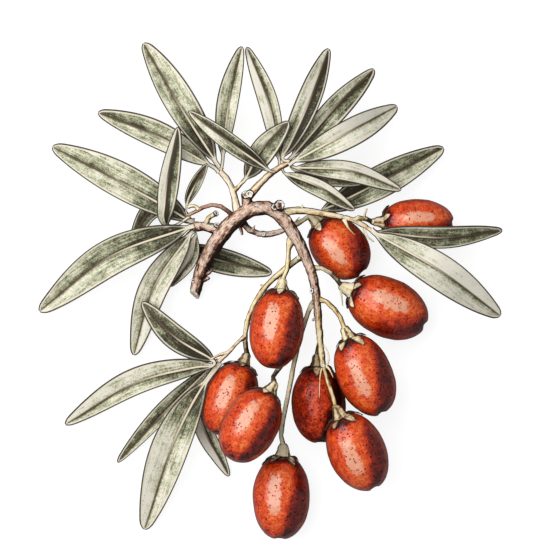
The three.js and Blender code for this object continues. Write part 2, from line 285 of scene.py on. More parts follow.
bpy.ops.object.light_add(type="AREA", location=KEY_DIRECTION * KEY_DISTANCE)
key = bpy.context.object
key.name = "key_lamp"
key.rotation_mode = "QUATERNION"
key.rotation_quaternion = KEY_DIRECTION.to_track_quat("Z", "Y")
key.data.size = KEY_SIZE
key.data.energy = KEY_POWER

bpy.ops.mesh.primitive_plane_add(size=TABLE_SIZE)
table = bpy.context.object
table.name = "table"
table_finish = Finish("table", roughness=0.9, specular=0)
table_finish.shader.inputs["Base Color"].default_value = (TABLE_GREY, TABLE_GREY, TABLE_GREY, 1)
matt = Wire(table_finish.shader.outputs[0])
glow = table_finish.node("ShaderNodeEmission", inputs={"Color": WHITE, "Strength": TABLE_GLOW})
glowing = table_finish.node("ShaderNodeAddShader", inputs={0: matt, 1: glow})
show_camera(table_finish.tree, matt, glowing, "Material Output")
table.data.materials.append(table_finish.material)
bpy.context.scene.view_settings.view_transform = "Standard"
print("lamp at", [round(v, 2) for v in key.location], "m")

# %% [markdown]
# Blender's modelling tools are operators, which act on what is active and selected. The helpers
# below do the bookkeeping: they select one object, pick its vertices by place to move, scale or
# extrude them, and apply a modifier with the settings that it is given.

# %% Selecting, picking and applying
def take(piece):
    """Makes a piece the only selected object, and the active one."""
    bpy.ops.object.select_all(action="DESELECT")
    bpy.context.view_layer.objects.active = piece
    piece.select_set(True)
    return piece


@contextmanager
def editing(piece):
    """Puts a piece in edit mode for the length of a with block."""
    take(piece)
    bpy.ops.object.mode_set(mode="EDIT")
    yield
    bpy.ops.object.mode_set(mode="OBJECT")


def pick(piece, wanted):
    """In edit mode, selects the vertices whose place passes the test."""
    mesh = bmesh.from_edit_mesh(piece.data)
    for vertex in mesh.verts:
        vertex.select = wanted(vertex.co)
    mesh.select_flush_mode()
    bmesh.update_edit_mesh(piece.data)


def move(way, **falloff):
    """In edit mode, moves what is picked."""
    bpy.ops.transform.translate(value=way, **falloff)


def resize(factors, centre=(0, 0, 0)):
    """In edit mode, scales what is picked about a point."""
    bpy.ops.transform.resize(value=factors, center_override=centre)


def extrude(way):
    """In edit mode, extrudes what is picked and moves the new part."""
    bpy.ops.mesh.extrude_region_move(TRANSFORM_OT_translate={"value": way})


def cut(at, facing, **sides):
    """In edit mode, cuts the whole mesh through by a plane."""
    bpy.ops.mesh.select_all(action="SELECT")
    bpy.ops.mesh.bisect(plane_co=at, plane_no=facing, **sides)


def modify(piece, kind, **settings):
    """Adds a modifier with its settings, and applies it."""
    take(piece)
    modifier = piece.modifiers.new(kind.lower(), kind)
    for name, value in settings.items():
        setattr(modifier, name, value)
    bpy.ops.object.modifier_apply(modifier=modifier.name)


def subdivide(piece, levels=1):
    modify(piece, "SUBSURF", levels=levels, render_levels=levels)


def clouds(name, size):
    """A soft noise texture, for pressing a surface in and out."""
    texture = bpy.data.textures.new(name, "CLOUDS")
    texture.noise_scale = size
    return texture


def displace(piece, texture, strength, direction="NORMAL"):
    modify(piece, "DISPLACE", texture=texture, strength=strength, direction=direction,
           texture_coords="LOCAL")


def named(name):
    """Names the primitive that was just added, and puts its place into its mesh."""
    piece = take(bpy.context.object)
    piece.name = name
    bpy.ops.object.transform_apply(location=True, rotation=True, scale=True)
    return piece


def copy_of(master, name):
    """A copy of a piece with its own mesh."""
    piece = bpy.data.objects.new(name, master.data.copy())
    for group in master.vertex_groups:
        piece.vertex_groups.new(name=group.name)
    bpy.context.collection.objects.link(piece)
    return take(piece)


def finish_piece(piece, node_names, slot, *materials):
    for vertex in piece.data.vertices:
        vertex.co = [min(max(c, low), high) for c, low, high in zip(vertex.co, *CAD_BOX)]
    indices = [polygon.material_index for polygon in piece.data.polygons]
    piece.data.materials.clear()
    for material in materials:
        piece.data.materials.append(material)
    piece.data.polygons.foreach_set("material_index", indices)
    take(piece)
    bpy.ops.object.shade_smooth()
    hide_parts(*node_names)
    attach(piece, "root")


# %% [markdown]
# The CAD nodes arrive as loose triangles. To read a shape from one, its triangles are welded into
# one mesh first. The woody nodes' corners also go in a search tree, which finds the twig that a leaf
# or stalk grows from.

# %% Reading the CAD solids
WOODY = ["main_branch", "left_twig", "red_shoot", "upper_left_twig", "upper_left_side_twig",
         "upper_right_twig", "right_twig", "back_twig", "lower_twig", "lower_side_twig"]
LEAVES = [name for name in frame["nodes"] if "leaf" in name]
WELD = 0.002 * MM


def welded(node):
    """A bmesh of a CAD node with its triangles joined up."""
    mesh = bmesh.new()
    mesh.from_mesh(frame["nodes"][node].data)
    bmesh.ops.remove_doubles(mesh, verts=mesh.verts, dist=WELD)
    return mesh


def search_tree(nodes):
    points = [vertex.co for node in nodes for vertex in frame["nodes"][node].data.vertices]
    tree = KDTree(len(points))
    for index, point in enumerate(points):
        tree.insert(point, index)
    tree.balance()
    return tree


wood_tree = search_tree(WOODY)
print("leaves:", len(LEAVES), "woody pieces:", len(WOODY))

# %% [markdown]
# A CAD leaf is a folded blade, and the valley along its fold is the only sharp one on it, so the
# midrib can be read straight off the mesh: walk along the valley from the tip down to the twig. The
# walk also gives the blade's width, how far it is turned about its midrib, and how much wider its
# left half is than its right.

# %% Measuring a leaf
VALLEY = math.radians(-15)
SHARP_TURN = math.radians(75)
LEAST_STEP = 0.7 * MM
LEAF_WIDEST = 0.9
LEAF_FULLNESS = 0.62
STATION = 0.4 * MM
MARGIN_BAND = 0.25 * MM
ROOT_DEPTH = 0.45 * MM
RISING = 0.4


def midrib_of(mesh):
    """The points along the fold of a CAD leaf, from its tip to its base."""
    valley = [e for e in mesh.edges if e.is_manifold and e.calc_length() > LEAST_STEP
              and e.calc_face_angle_signed() < VALLEY]
    joined = {}
    for edge in valley:
        for vertex in edge.verts:
            joined.setdefault(vertex, []).append(edge.other_vert(vertex))
    ends = [vertex for vertex, others in joined.items() if len(others) == 1]
    tip = max(ends, key=lambda vertex: wood_tree.find(vertex.co)[2])
    chain = [tip, joined[tip][0]]
    while True:
        here, ahead = chain[-1], chain[-1].co - chain[-2].co
        turns = {v: (v.co - here.co).angle(ahead) for v in joined[here] if v not in chain}
        if not turns or min(turns.values()) > SHARP_TURN:
            return [vertex.co.copy() for vertex in chain]
        chain.append(min(turns, key=turns.get))


def margin(row, point, outwards):
    """The middle of the blade's edge on one side of a point on its midrib."""
    reach = max((co - point).dot(outwards) for co in row)
    edge = [co for co in row if (co - point).dot(outwards) > reach - MARGIN_BAND]
    return sum(edge, Vector()) / len(edge)


def blade_width(along):
    """The width of a leaf's blade from its foot, 0, to its tip, 1, as a share of its widest."""
    return math.sin(math.pi * along ** LEAF_WIDEST) ** LEAF_FULLNESS


def share_at(width):
    """How far along the blade it first reaches that share of its widest."""
    return (math.asin(width ** (1 / LEAF_FULLNESS)) / math.pi) ** (1 / LEAF_WIDEST)


def measure_leaf(node):
    """The midrib from inside the twig to the tip, the blade's width and turn, and its foot."""
    mesh = welded(node)
    rib = midrib_of(mesh)[::-1]
    places = [vertex.co.copy() for vertex in mesh.verts]
    mesh.free()
    widths, turns, halves, run = [], [], [], [0]
    for before, point, after in zip(rib, rib[1:], rib[2:]):
        ahead = (after - before).normalized()
        level = UP.cross(ahead).normalized()
        row = [co for co in places if abs((co - point).dot(ahead)) < STATION]
        left, right = margin(row, point, level), margin(row, point, -level)
        across = left - right
        widths.append(across.length)
        halves.append(((left - point).length, (right - point).length))
        turns.append(math.atan2(across.dot(ahead.cross(level)), across.dot(level)))
        run.append(run[-1] + (point - before).length)
    width = max(widths)
    length = run[-1] + (rib[-1] - rib[-2]).length
    rising = next(k for k, w in enumerate(widths) if w > RISING * width)
    share = share_at(min(1, widths[rising] / width))
    foot = max(0, run[rising + 1] - share * (length - run[rising + 1]) / (1 - share))
    on_wood, _, _ = wood_tree.find(rib[0])
    root = on_wood + (on_wood - rib[0]).normalized() * ROOT_DEPTH
    foot += (rib[0] - root).length
    left, right = halves[widths.index(width)]
    return {"rib": [root] + rib, "width": width, "turn": turns[widths.index(width)], "foot": foot,
            "lean": (left - right) / (left + right)}


leaf_places = {name: measure_leaf(name) for name in LEAVES}
print("leaf widths in mm:", {name: round(found["width"] / MM, 1) for name, found in leaf_places.items()})

# %% [markdown]
# One blank serves every leaf. It starts as a flat grid, one unit long and one wide, and its foot is
# pulled out into a leaf stalk. Its rows are drawn together at the midrib and the margin, where a real
# leaf has a rib and a rolled edge, and lifted into a shallow fold. The last columns crowd together,
# for a round tip. Then each column is scaled to the outline of the blade.

# %% The leaf blank
BLADE_STEPS = 28
STALK_STEPS = 6
ROWS = [0, 0.045, 0.09, 0.2, 0.4, 0.6, 0.78, 0.88, 0.94, 1]
LIFT = [0.014, 0.010, -0.004, 0.006, 0.014, 0.014, 0.006, -0.004, 0.008, -0.016]
FOLD = 0.28
TIP_COLUMNS = [0.935, 0.968, 0.99]
STALK_WIDTH = 0.15
TIP_FULL = {"from": 0.6, "shift": 0.035}
TIP_ROUND = 0.955
TIP_POINT = 0.05


def leaf_width(along):
    """The width of the blank: the blade's, a little fuller near the tip, with a round end."""
    past = max(0, (along - TIP_FULL["from"]) / (1 - TIP_FULL["from"]))
    rounded = math.sqrt(1 - max(0, (along - TIP_ROUND) / (1 - TIP_ROUND)) ** 2)
    least = STALK_WIDTH if along < 0.5 else TIP_POINT
    return max(blade_width(max(0, along) - TIP_FULL["shift"] * past ** 2) * rounded, least)


bpy.ops.mesh.primitive_grid_add(x_subdivisions=BLADE_STEPS, y_subdivisions=2 * (len(ROWS) - 1), size=1,
                                location=(0.5, 0, 0))
leaf_blank = named("leaf_blank")

columns = [-step / STALK_STEPS for step in range(STALK_STEPS, 0, -1)]
columns += [step / BLADE_STEPS for step in range(BLADE_STEPS - len(TIP_COLUMNS))] + TIP_COLUMNS + [1]
with editing(leaf_blank):
    for step in range(STALK_STEPS):
        pick(leaf_blank, lambda co: abs(co.x + step / STALK_STEPS) < NEAR)
        extrude((-1 / STALK_STEPS, 0, 0))
    for side in (-1, 1):
        for index in range(len(ROWS) - 1, -1, -1):
            even = index / (len(ROWS) - 1) / 2 * side
            pick(leaf_blank, lambda co: abs(co.y - even) < NEAR and abs(co.z) < NEAR)
            move((0, ROWS[index] / 2 * side - even, LIFT[index] + FOLD * ROWS[index] / 2))
    for back, crowded in enumerate(TIP_COLUMNS[::-1], 1):
        even = (BLADE_STEPS - back) / BLADE_STEPS
        pick(leaf_blank, lambda co: abs(co.x - even) < NEAR)
        move((crowded - even, 0, 0))
    for at in columns:
        wide = leaf_width(at)
        pick(leaf_blank, lambda co: abs(co.x - at) < NEAR)
        resize((1, wide, wide), (at, 0, 0))
print("leaf blank:", len(leaf_blank.data.polygons), "faces")

# %% [markdown]
# A leaf's colours follow its own shape: the pale line of the midrib, the pale rolled edge, one half
# in light and the other in shade. So each vertex keeps three numbers from the flat blank: how far
# along the blade it is, how far from the midrib, and how far in from the edge.

# %% Numbers that the leaf's colours follow
def write_numbers(piece, name, values):
    """Gives each vertex a named number, or all of them the same one."""
    layer = piece.data.attributes.get(name) or piece.data.attributes.new(name, "FLOAT", "POINT")
    each = np.broadcast_to(np.asarray(values, np.float32), len(piece.data.vertices))
    layer.data.foreach_set("value", np.ascontiguousarray(each))


def read_numbers(piece, name):
    values = np.zeros(len(piece.data.vertices), np.float32)
    piece.data.attributes[name].data.foreach_get("value", values)
    return values


flat = np.array([vertex.co for vertex in leaf_blank.data.vertices])
half_widths = {}
for x, y, _ in flat:
    half_widths[round(x, 3)] = max(abs(y), half_widths.get(round(x, 3), 0))
write_numbers(leaf_blank, "along", np.clip(flat[:, 0], 0, 1))
write_numbers(leaf_blank, "across", flat[:, 1])
write_numbers(leaf_blank, "inset", [half_widths[round(x, 3)] - abs(y) for x, y, _ in flat])

# %% [markdown]
# A Curve modifier bends a straight mesh along a guide. Each leaf is a copy of the blank, stretched
# to its own length and width and bent along its own midrib, then given its thickness: more along
# the rib, less at the edge. A slow noise makes no two blades lie the same.

# %% Bending a copy of the blank along each midrib
LEAF_THICKNESS = 0.5 * MM
FULL_LINES = 6.5 * MM
THIN = 0.55
RIB_BREADTH = 0.06
WAVE = 0.9 * MM
WAVE_LENGTH = 9 * MM

slow_waves = clouds("slow_waves", WAVE_LENGTH)


def guide_through(points, turn=0):
    """A smooth curve through the points, turned about itself."""
    curve = bpy.data.curves.new("guide", "CURVE")
    curve.dimensions = "3D"
    curve.twist_mode = "Z_UP"
    spline = curve.splines.new("BEZIER")
    spline.bezier_points.add(len(points) - 1)
    for knot, point in zip(spline.bezier_points, points):
        knot.co = point
        knot.handle_left_type = knot.handle_right_type = "AUTO"
        knot.tilt = turn
    guide = bpy.data.objects.new("guide", curve)
    bpy.context.collection.objects.link(guide)
    return guide


def bend(piece, guide):
    """Lays a piece that runs along X on a guide, and removes the guide."""
    modify(piece, "CURVE", object=guide, deform_axis="POS_X")
    bpy.data.objects.remove(guide)


group = leaf_blank.vertex_groups.new(name="stout")
inset, across = read_numbers(leaf_blank, "inset"), read_numbers(leaf_blank, "across")
for vertex in leaf_blank.data.vertices:
    stout = math.exp(-(across[vertex.index] / RIB_BREADTH) ** 2)
    group.add([vertex.index], THIN + (1 - THIN) * stout, "REPLACE")


def leaf(node):
    """A copy of the blank at a leaf's own size, bent, waved and thickened."""
    found = leaf_places[node]
    guide = guide_through(found["rib"], found["turn"])
    length = guide.data.splines[0].calc_length()
    foot, width = found["foot"], found["width"]
    piece = copy_of(leaf_blank, node.replace("leaf", "blade"))
    with editing(piece):
        pick(piece, lambda co: co.x < -NEAR)
        resize((foot, 1, 1))
        pick(piece, lambda co: co.x > NEAR)
        resize((length - foot, 1, 1))
        for side in (-1, 1):
            pick(piece, lambda co: co.y * side > NEAR and co.x > -NEAR)
            resize((1, 1 + side * found["lean"], 1))
        pick(piece, lambda co: True)
        resize((1, width, width))
        move((foot, 0, 0))
    write_numbers(piece, "across", read_numbers(piece, "across") * width / MM)
    write_numbers(piece, "inset", read_numbers(piece, "inset") * max(width, FULL_LINES) / MM)
    bend(piece, guide)
    displace(piece, slow_waves, WAVE, direction="Z")
    modify(piece, "SOLIDIFY", thickness=LEAF_THICKNESS, offset=0, vertex_group="stout",
           thickness_vertex_group=0, material_offset=1, material_offset_rim=0)
    subdivide(piece)
    return piece


leaf_pieces = {node: leaf(node) for node in LEAVES}
print("leaves:", len(leaf_pieces), "of", len(leaf_pieces[LEAVES[0]].data.polygons), "faces each")

# %% [markdown]
# A goji leaf is a matt grey-green with a fine mottle. Its rib and its rolled edge are cream, the rib
# dries to brown towards the tip, and the very edge is a thin brown line. The blade is darker near
# its stalk. Painted shade darkens the fold along the midrib, and the halves carry painted light and
# painted shade. The underside has the same drawing in a paler green.

# %% Leaf finishes
def leaf_finish(name, under):
    """A depth picks the green from a ramp, with painted light and shade on the halves and painted shade in
    the fold, and the rib and the edge are drawn over it.
    """
    made = Finish(name, roughness=0.62, specular=0.25)
    along, across, inset, left, right = made.attributes("along", "across", "inset", "left_tone",
                                                        "right_tone")
    # Painted light and painted shade on the halves, together with each leaf's own tone: the left half takes
    # one number and the right half the other.
    side = across.ramp(-0.12, 0.12)
    tone = left * side + right * (1 - side)
    mottle = made.noise(1.3, detail=7, roughness=0.72)
    hatching = made.noise(3.4, detail=2, roughness=0.5)
    blotch = made.noise(0.3, detail=3)
    lanes = made.node("ShaderNodeCombineXYZ", inputs={0: along * 4, 1: across * 2.6, 2: blotch * 0.6})
    streaks = made.noise(1, detail=5, vector=lanes, roughness=0.65)
    depth = tone + (mottle - 0.5) * 1.1 + (blotch - 0.5) * 0.9 + (streaks - 0.5) * 1.6
    depth = depth + (hatching - 0.5) * 0.9
    # Painted shade in the fold: near the midrib, the darker half is darkened further.
    deeper = (left - right) * (side * 2 - 1)
    depth = depth + (abs(across) / 1.5).ramp(1, 0.1) * (deeper * 0.9 + 0.1)
    stalk = along.ramp(0.05, 0)
    depth = depth + along.ramp(0.42, 0.02) * 0.24 - stalk * 0.6
    # Painted shade: a little darker close to the midrib, away from the stalk.
    depth = depth + (abs(across) / 0.8).ramp(1.1, 0.3) * along.ramp(0.1, 0.5) * 0.12
    if under:
        depth = depth * 0.5 + 0.1
    stops = ramp_stops((0, 0.22, 0.45, 0.7, 1), "F6F2E2 E2DFC6 B4B595 717257 312C1D")
    blade = made.coloured(depth, stops)
    # Painted shade in the fold: a dark line on each side of the rib.
    painted_fold_shade = (abs(across) / 0.45).ramp(1, 0.5)
    shaded = made.mix(painted_fold_shade * 0.5, blade, colour("5B4C38"))
    rib_width = 0.26 - along * 0.17
    rib = (abs(across) / rib_width).ramp(1.1, 0.75)
    rib_colour = made.mix(along.ramp(0.62, 0.22), colour("5E4A36"), colour("F0E2C8"))
    shaded = made.mix(rib, shaded, rib_colour)
    from_edge = inset + stalk * 0.16
    pale_edge = from_edge.ramp(0.74, 0.56) * (0.3 + along.ramp(0.08, 0.35) * 0.5 + stalk * 0.5)
    shaded = made.mix(pale_edge.clamped(), shaded, colour("F2EAD4"))
    shaded = made.mix(from_edge.ramp(0.38, 0.27) * 0.95, shaded, colour("2E2116"))
    made.set("Base Color", shaded)
    made.bump(mottle + streaks * 0.5, 0.08)
    return made.material


leaf_top = leaf_finish("leaf_upper_side", under=False)
leaf_under = leaf_finish("leaf_underside", under=True)

# %% [markdown]
# How dark each half of a leaf is differs from leaf to leaf. Part of it is the leaf's own tone, from how it
# grew.
# The rest is painted light and painted shade, for where the light caught it and which way its fold turns.
# The table gives it for the half left of the midrib and the half right of it, seen from above and looking
# from the stalk to the tip: 0 is cream and 1 is nearly black. The last two numbers are added in the third
# nearest to the stalk and in the third nearest to the tip.

# %% The painted shade and tone of each half leaf
LEAF_SHADES_AND_TONES = {
    "left_leaf_1": (0.36, 0.39, 0.27, -0.01), "left_leaf_2": (0.42, 0.52, 0.22, -0.16),
    "left_leaf_3": (0.17, 0.28, 0.06, -0.08), "left_leaf_4": (0.20, -0.3, 0, 0),
    "left_leaf_5": (0.04, 0.60, 0.06, 0.05), "left_leaf_6": (0.85, 0.80, 0, 0),
    "left_leaf_7": (0.82, 0.64, 0, -0.24), "red_shoot_leaf": (0.90, 0.66, 0.10, 0.12),
    "upper_left_leaf_1": (0.38, 0.53, -0.30, 0.10), "upper_left_leaf_2": (0.49, 0.36, 0.36, -0.06),
    "upper_left_leaf_3": (0.34, 0.20, 0, 0.02), "side_leaf": (0.38, 0.50, 0.22, 0.18),
    "upper_right_leaf_1": (0.44, 0.70, 0.44, -0.15), "upper_right_leaf_2": (-0.02, 0.36, 0.08, 0),
    "upper_right_leaf_3": (0.25, 0.84, 0.36, 0.24), "upper_right_leaf_4": (0.36, 0.56, 0.12, 0.13),
    "upper_right_leaf_5": (-0.05, 0.02, 0.22, 0.06), "upper_right_leaf_6": (-0.04, 0.14, 0.42, 0.02),
    "upper_right_leaf_7": (0.63, 0.56, 0.46, 0), "upper_right_leaf_8": (0.02, 0.31, 0.27, 0.18),
    "right_leaf_1": (0.64, 0.38, 0.36, 0.02), "right_leaf_2": (0.66, 0.70, -0.15, -0.02),
    "right_leaf_3": (-0.10, 0.08, 0.26, 0.03), "lower_leaf_1": (0.79, 0.75, 0.24, -0.04),
    "lower_leaf_2": (0.37, 0.16, 0.16, -0.08), "lower_leaf_3": (0.44, 0.54, -0.02, -0.03),
    "lower_leaf_4": (0.30, 0.15, 0.34, -0.14), "lower_leaf_5": (0.36, -0.15, 0, 0),
}
FOOT_THIRD = (0.45, 0.20)
TIP_THIRD = (0.55, 0.80)
slots = {row["node"]: row["material_slot"] for row in frame["record"]["subparts"]}
for node, piece in leaf_pieces.items():
    left, right, foot, tip = LEAF_SHADES_AND_TONES[node]
    along = read_numbers(piece, "along")
    ends = foot * np.interp(-along, [-FOOT_THIRD[0], -FOOT_THIRD[1]], [0, 1])
    ends = ends + tip * np.interp(along, TIP_THIRD, [0, 1])
    write_numbers(piece, "left_tone", left + ends)
    write_numbers(piece, "right_tone", right + ends)
    finish_piece(piece, [node], slots[node], leaf_top, leaf_under)
bpy.data.objects.remove(leaf_blank)

# %% [markdown]
# A ripe goji berry is an oblong drop of thin skin over soft flesh. It starts as a sphere, whose
# rings are widened into fuller shoulders, and both ends are pressed in: a wide dent under the stalk
# and a small pit with a lip at the tip, where the flower's style stood.

# %% The berry master
BERRY_SEGMENTS = 80
BERRY_RINGS = 60
BERRY_FULLNESS = 2.08
STALK_DENT = {"radius": 0.45, "depth": 0.10}
TIP_DENT = {"radius": 0.26, "depth": 0.05}

bpy.ops.mesh.primitive_uv_sphere_add(segments=BERRY_SEGMENTS, ring_count=BERRY_RINGS, radius=1)
berry_master = named("berry_master")
with editing(berry_master):
    for ring in range(BERRY_RINGS + 1):
        height = math.cos(math.pi * ring / BERRY_RINGS)
        narrow = math.sqrt(max(0, 1 - height * height))
        full = (1 - abs(height) ** BERRY_FULLNESS) ** (1 / BERRY_FULLNESS) if narrow > NEAR else 0
        dent = STALK_DENT if height > 0 else TIP_DENT
        press = dent["depth"] * max(0, 1 - (full / dent["radius"]) ** 2) ** 2
        pick(berry_master, lambda co: abs(co.z - height) < NEAR)
        if narrow > NEAR:
            resize((full / narrow, full / narrow, 1), (0, 0, height))
        if press > NEAR:
            move((0, 0, -math.copysign(press, height)))
heights = [vertex.co.z for vertex in berry_master.data.vertices]
write_numbers(berry_master, "along", heights)
lowest, highest = min(heights), max(heights)
print("berry master from", round(lowest, 3), "to", round(highest, 3))

# %% [markdown]
# Each berry lies where its CAD solid lies. The solid's corners spread most along its length, so the
# first principal axis of the corners is the berry's axis, and the end nearer to its stalk is the top.
# A sharper little pit is then pressed into each tip, just above its middle, with a soft falloff.

# %% Ten berries
BERRY_COUNT = 10
BULGE = 0.45 * MM
BULGE_LENGTH = 6 * MM
SHADE_SIDE = Vector((0.82, -0.57, 0)).normalized()
SHADE_MIX = (0.65, 0.4)
# Painted shade: berry 8 lies in the other berries' shade, so it is painted darker all over, its painted
# highlight is taken away and its coat thinned.
SHADOWED_BERRIES = {8: 0.26}
BERRY_ROLL = 2.4
PIT_LIFT = 0.2
PIT_DEPTH = 1.0 * MM
PIT_REACH = 1.6 * MM

bulges = clouds("bulges", BULGE_LENGTH)


def write_shade(piece):
    """Writes how far each vertex faces the shaded side of the sprig, and how far it faces up."""
    normals = np.array([vertex.normal for vertex in piece.data.vertices])
    write_numbers(piece, "shade", normals @ np.array(SHADE_SIDE))
    write_numbers(piece, "level", normals[:, 2])


def write_flank(piece, axis):
    """Writes how far each vertex of a berry faces the lamp's side of its axis, which places its painted
    highlight, and mixes the other way into its painted shade.
    """
    lamp_side = axis.cross(UP).normalized()
    lamp_side = lamp_side if lamp_side.dot(SHADE_SIDE) < 0 else -lamp_side
    flank = np.array([vertex.normal.dot(lamp_side) for vertex in piece.data.vertices])
    shade = read_numbers(piece, "shade") * SHADE_MIX[0] - flank * SHADE_MIX[1]
    write_numbers(piece, "shade", shade)
    write_numbers(piece, "flank", flank)


def corners(node):
    """The places of a CAD node's corners, each of them once."""
    return np.unique(np.array([v.co for v in frame["nodes"][node].data.vertices]).round(7), axis=0)


def measure_berry(number):
    """The middle, axis (towards the stalk), length and width of a CAD berry."""
    points = corners(f"berry_{number}")
    middle = points.mean(axis=0)
    _, axes = np.linalg.eigh(np.cov((points - middle).T))
    axis = axes[:, -1]
    if (corners(f"stalk_{number}").mean(axis=0) - middle) @ axis < 0:
        axis = -axis
    run = (points - middle) @ axis
    middle = middle + axis * (run.max() + run.min()) / 2
    across = np.linalg.norm((points - middle) - np.outer((points - middle) @ axis, axis), axis=1)
    return {"middle": Vector(middle), "axis": Vector(axis), "length": run.max() - run.min(),
            "width": 2 * across.max()}


def press_pit(piece, found):
    """Presses the pit into a berry's tip, and writes each vertex's distance from it."""
    way = (UP * PIT_LIFT - found["axis"]).normalized()
    places = np.array([vertex.co - found["middle"] for vertex in piece.data.vertices])
    at = int(np.argmax(places @ np.array(way) / np.linalg.norm(places, axis=1)))
    write_numbers(piece, "pit", np.linalg.norm(places - places[at], axis=1) / MM)
    centre = piece.data.vertices[at].co.copy()
    with editing(piece):
        pick(piece, lambda co: (co - centre).length < NEAR * MM)
        move(-way * PIT_DEPTH, use_proportional_edit=True, proportional_edit_falloff="SMOOTH",
             proportional_size=PIT_REACH)


def placed(piece, at, axis, roll, scale):
    """Scales a master, stands its Z along the axis and moves it, all in its mesh."""
    take(piece)
    piece.scale = scale
    piece.rotation_mode = "QUATERNION"
    piece.rotation_quaternion = axis.to_track_quat("Z", "Y") @ UP.to_track_quat("Z", "Y")
    piece.rotation_quaternion.rotate(Matrix.Rotation(roll, 3, axis))
    piece.location = at
    bpy.ops.object.transform_apply(location=True, rotation=True, scale=True)
    return piece


berries = {number: measure_berry(number) for number in range(1, BERRY_COUNT + 1)}
berry_pieces = {}
for number, found in berries.items():
    piece = copy_of(berry_master, f"fruit_{number}")
    stretch = found["length"] / (highest - lowest)
    seat = found["middle"] - found["axis"] * stretch * (highest + lowest) / 2
    scale = (found["width"] / 2, found["width"] / 2, stretch)
    placed(piece, seat, found["axis"], number * BERRY_ROLL, scale)
    displace(piece, bulges, BULGE)
    write_shade(piece)
    write_flank(piece, found["axis"])
    press_pit(piece, found)
    write_numbers(piece, "ripeness", SHADOWED_BERRIES.get(number, 0))
    berry_pieces[number] = piece
bpy.data.objects.remove(berry_master)
print("berries:", {n: (round(b["length"] / MM, 1), round(b["width"] / MM, 1)) for n, b in berries.items()})

# %% [markdown]
# The skin is thin and glossy over deep orange-red flesh, and it is never even: it is mottled, has
# small dark dots without any gloss, and is darker round both ends. Over that the light is painted.
# Painted shade turns the side away from the lamp and the underside a deep red-brown, and the calyx
# casts a painted shadow on the top. A painted highlight lies as a pale patch on the lamp's side, and
# a painted reflection lightens the skin again near its edge.

# %% Berry finish
def berry_finish():
    """A depth picks the red from a ramp, with painted light and painted shade in it, and a painted
    highlight, a painted reflection near the edge, the painted shade of the underside and the pit lie over
    it.
    """
    made = Finish("berry_skin", specular=0.15, Coat_Roughness=0.12, Coat_IOR=1.55)
    along, shade, level, flank, ripeness = made.attributes("along", "shade", "level", "flank", "ripeness")
    mottle = made.noise(0.75, detail=6, roughness=0.7)
    fine = made.noise(2.6, detail=5, roughness=0.7)
    dots = made.specks(1.25).ramp(0.34, 0.20) * made.noise(0.5, detail=2).ramp(0.34, 0.54)
    # Darker round both ends; the second term, under the calyx, is a painted shadow of the calyx.
    ends = abs(along).ramp(0.62, 0.95) + along.ramp(0.70, 0.92)
    rim = level.ramp(0.58, 0.42)
    under = level.ramp(0.36, 0.14)
    # Painted shade: the side away from the lamp turns a deep red-brown, less so near the edge.
    dark = shade.ramp(0.18, 0.56) * (1 - rim * 0.5)
    # Painted light: a bright orange band between the lit side and the painted shade.
    glow = abs(shade - 0.02).ramp(0.42, 0.12)
    depth = 0.33 - glow * 0.14 + dark * 0.40 + (mottle - 0.5) * (1.3 - dark * 0.6) + ends * 0.3
    # Painted shade for a berry in the others' shade is added here.
    depth = depth + (fine - 0.5) * (1 - dark * 0.4) + dots * 0.30 + ripeness
    stops = ramp_stops((0, 0.18, 0.38, 0.58, 0.78, 1), "FA8C48 F26028 DA4210 A0260C 58100C 260707")
    skin = made.coloured(depth, stops)
    # Painted highlight: a pale pink patch on the lamp's side of the top, broken by the dots.
    painted_highlight = abs(flank - 0.24).ramp(0.42, 0.06) * abs(along - 0.10).ramp(0.74, 0.22) * level.ramp(0, 0.4)
    painted_highlight = (painted_highlight + (made.noise(0.8, detail=5, roughness=0.75) - 0.5) * 1.8).ramp(0.40, 0.80)
    painted_highlight = painted_highlight * (1 - dots * 0.9) * ripeness.ramp(0.1, 0)
    skin = made.mix(painted_highlight * 0.66, skin, colour("FAC6A6"))
    # Painted reflection: near its edge, where it faces sideways, the skin is lightened to a dusty red.
    skin = made.mix(rim * 0.45, skin, colour("A83E26"))
    # Painted shade: the underside is darkened to a deep red-brown, which from above shows as a dark edge.
    skin = made.mix(under * 0.62, skin, colour("440F0B"))
    pit = made.attribute("pit") + (fine - 0.5) * 2.2 + (mottle - 0.5) * 1.2
    skin = made.mix(pit.ramp(1.3, 0.2) * 0.8, skin, colour("240806"))
    made.set("Base Color", skin)
    made.set("Coat Weight", (1 - dots) * (0.7 - ripeness * 1.8))
    made.set("Roughness", 0.4 + dots * 0.4)
    made.bump(mottle * 0.5 + fine * 0.25 - dots * 0.4, 0.14)
    return made.material


berry_skin = berry_finish()
for number, piece in berry_pieces.items():
    finish_piece(piece, [f"berry_{number}"], "berry", berry_skin)

# %% [markdown]
# The CAD twigs stop a little short of what they grow on, so that the solids stay apart. A living
# twig swells into its parent instead. So each woody piece starts as a welded copy of its CAD solid,
# and the corners that face its parent are pushed inside it and spread, before the copy is remeshed
# into an even skin of small squares and smoothed. The last stalk in the list forks off another one.

# %% Rooting a copy of the wood in its parent
STALKS = [f"stalk_{number}" for number in (1, 2, 3, 4, 5, 6, 8, 9, 10, 7)]
GROWN = WOODY[:-1] + STALKS + WOODY[-1:]
ROOT_GAP = 0.5 * MM
ROOT_SPAN = 2.2 * MM
ROOT_PUSH = 0.9 * MM
ROOT_SPREAD = 1.2


def surface_of(node):
    mesh = welded(node)
    tree = BVHTree.FromBMesh(mesh)
    mesh.free()
    return tree


surfaces = {node: surface_of(node) for node in GROWN}


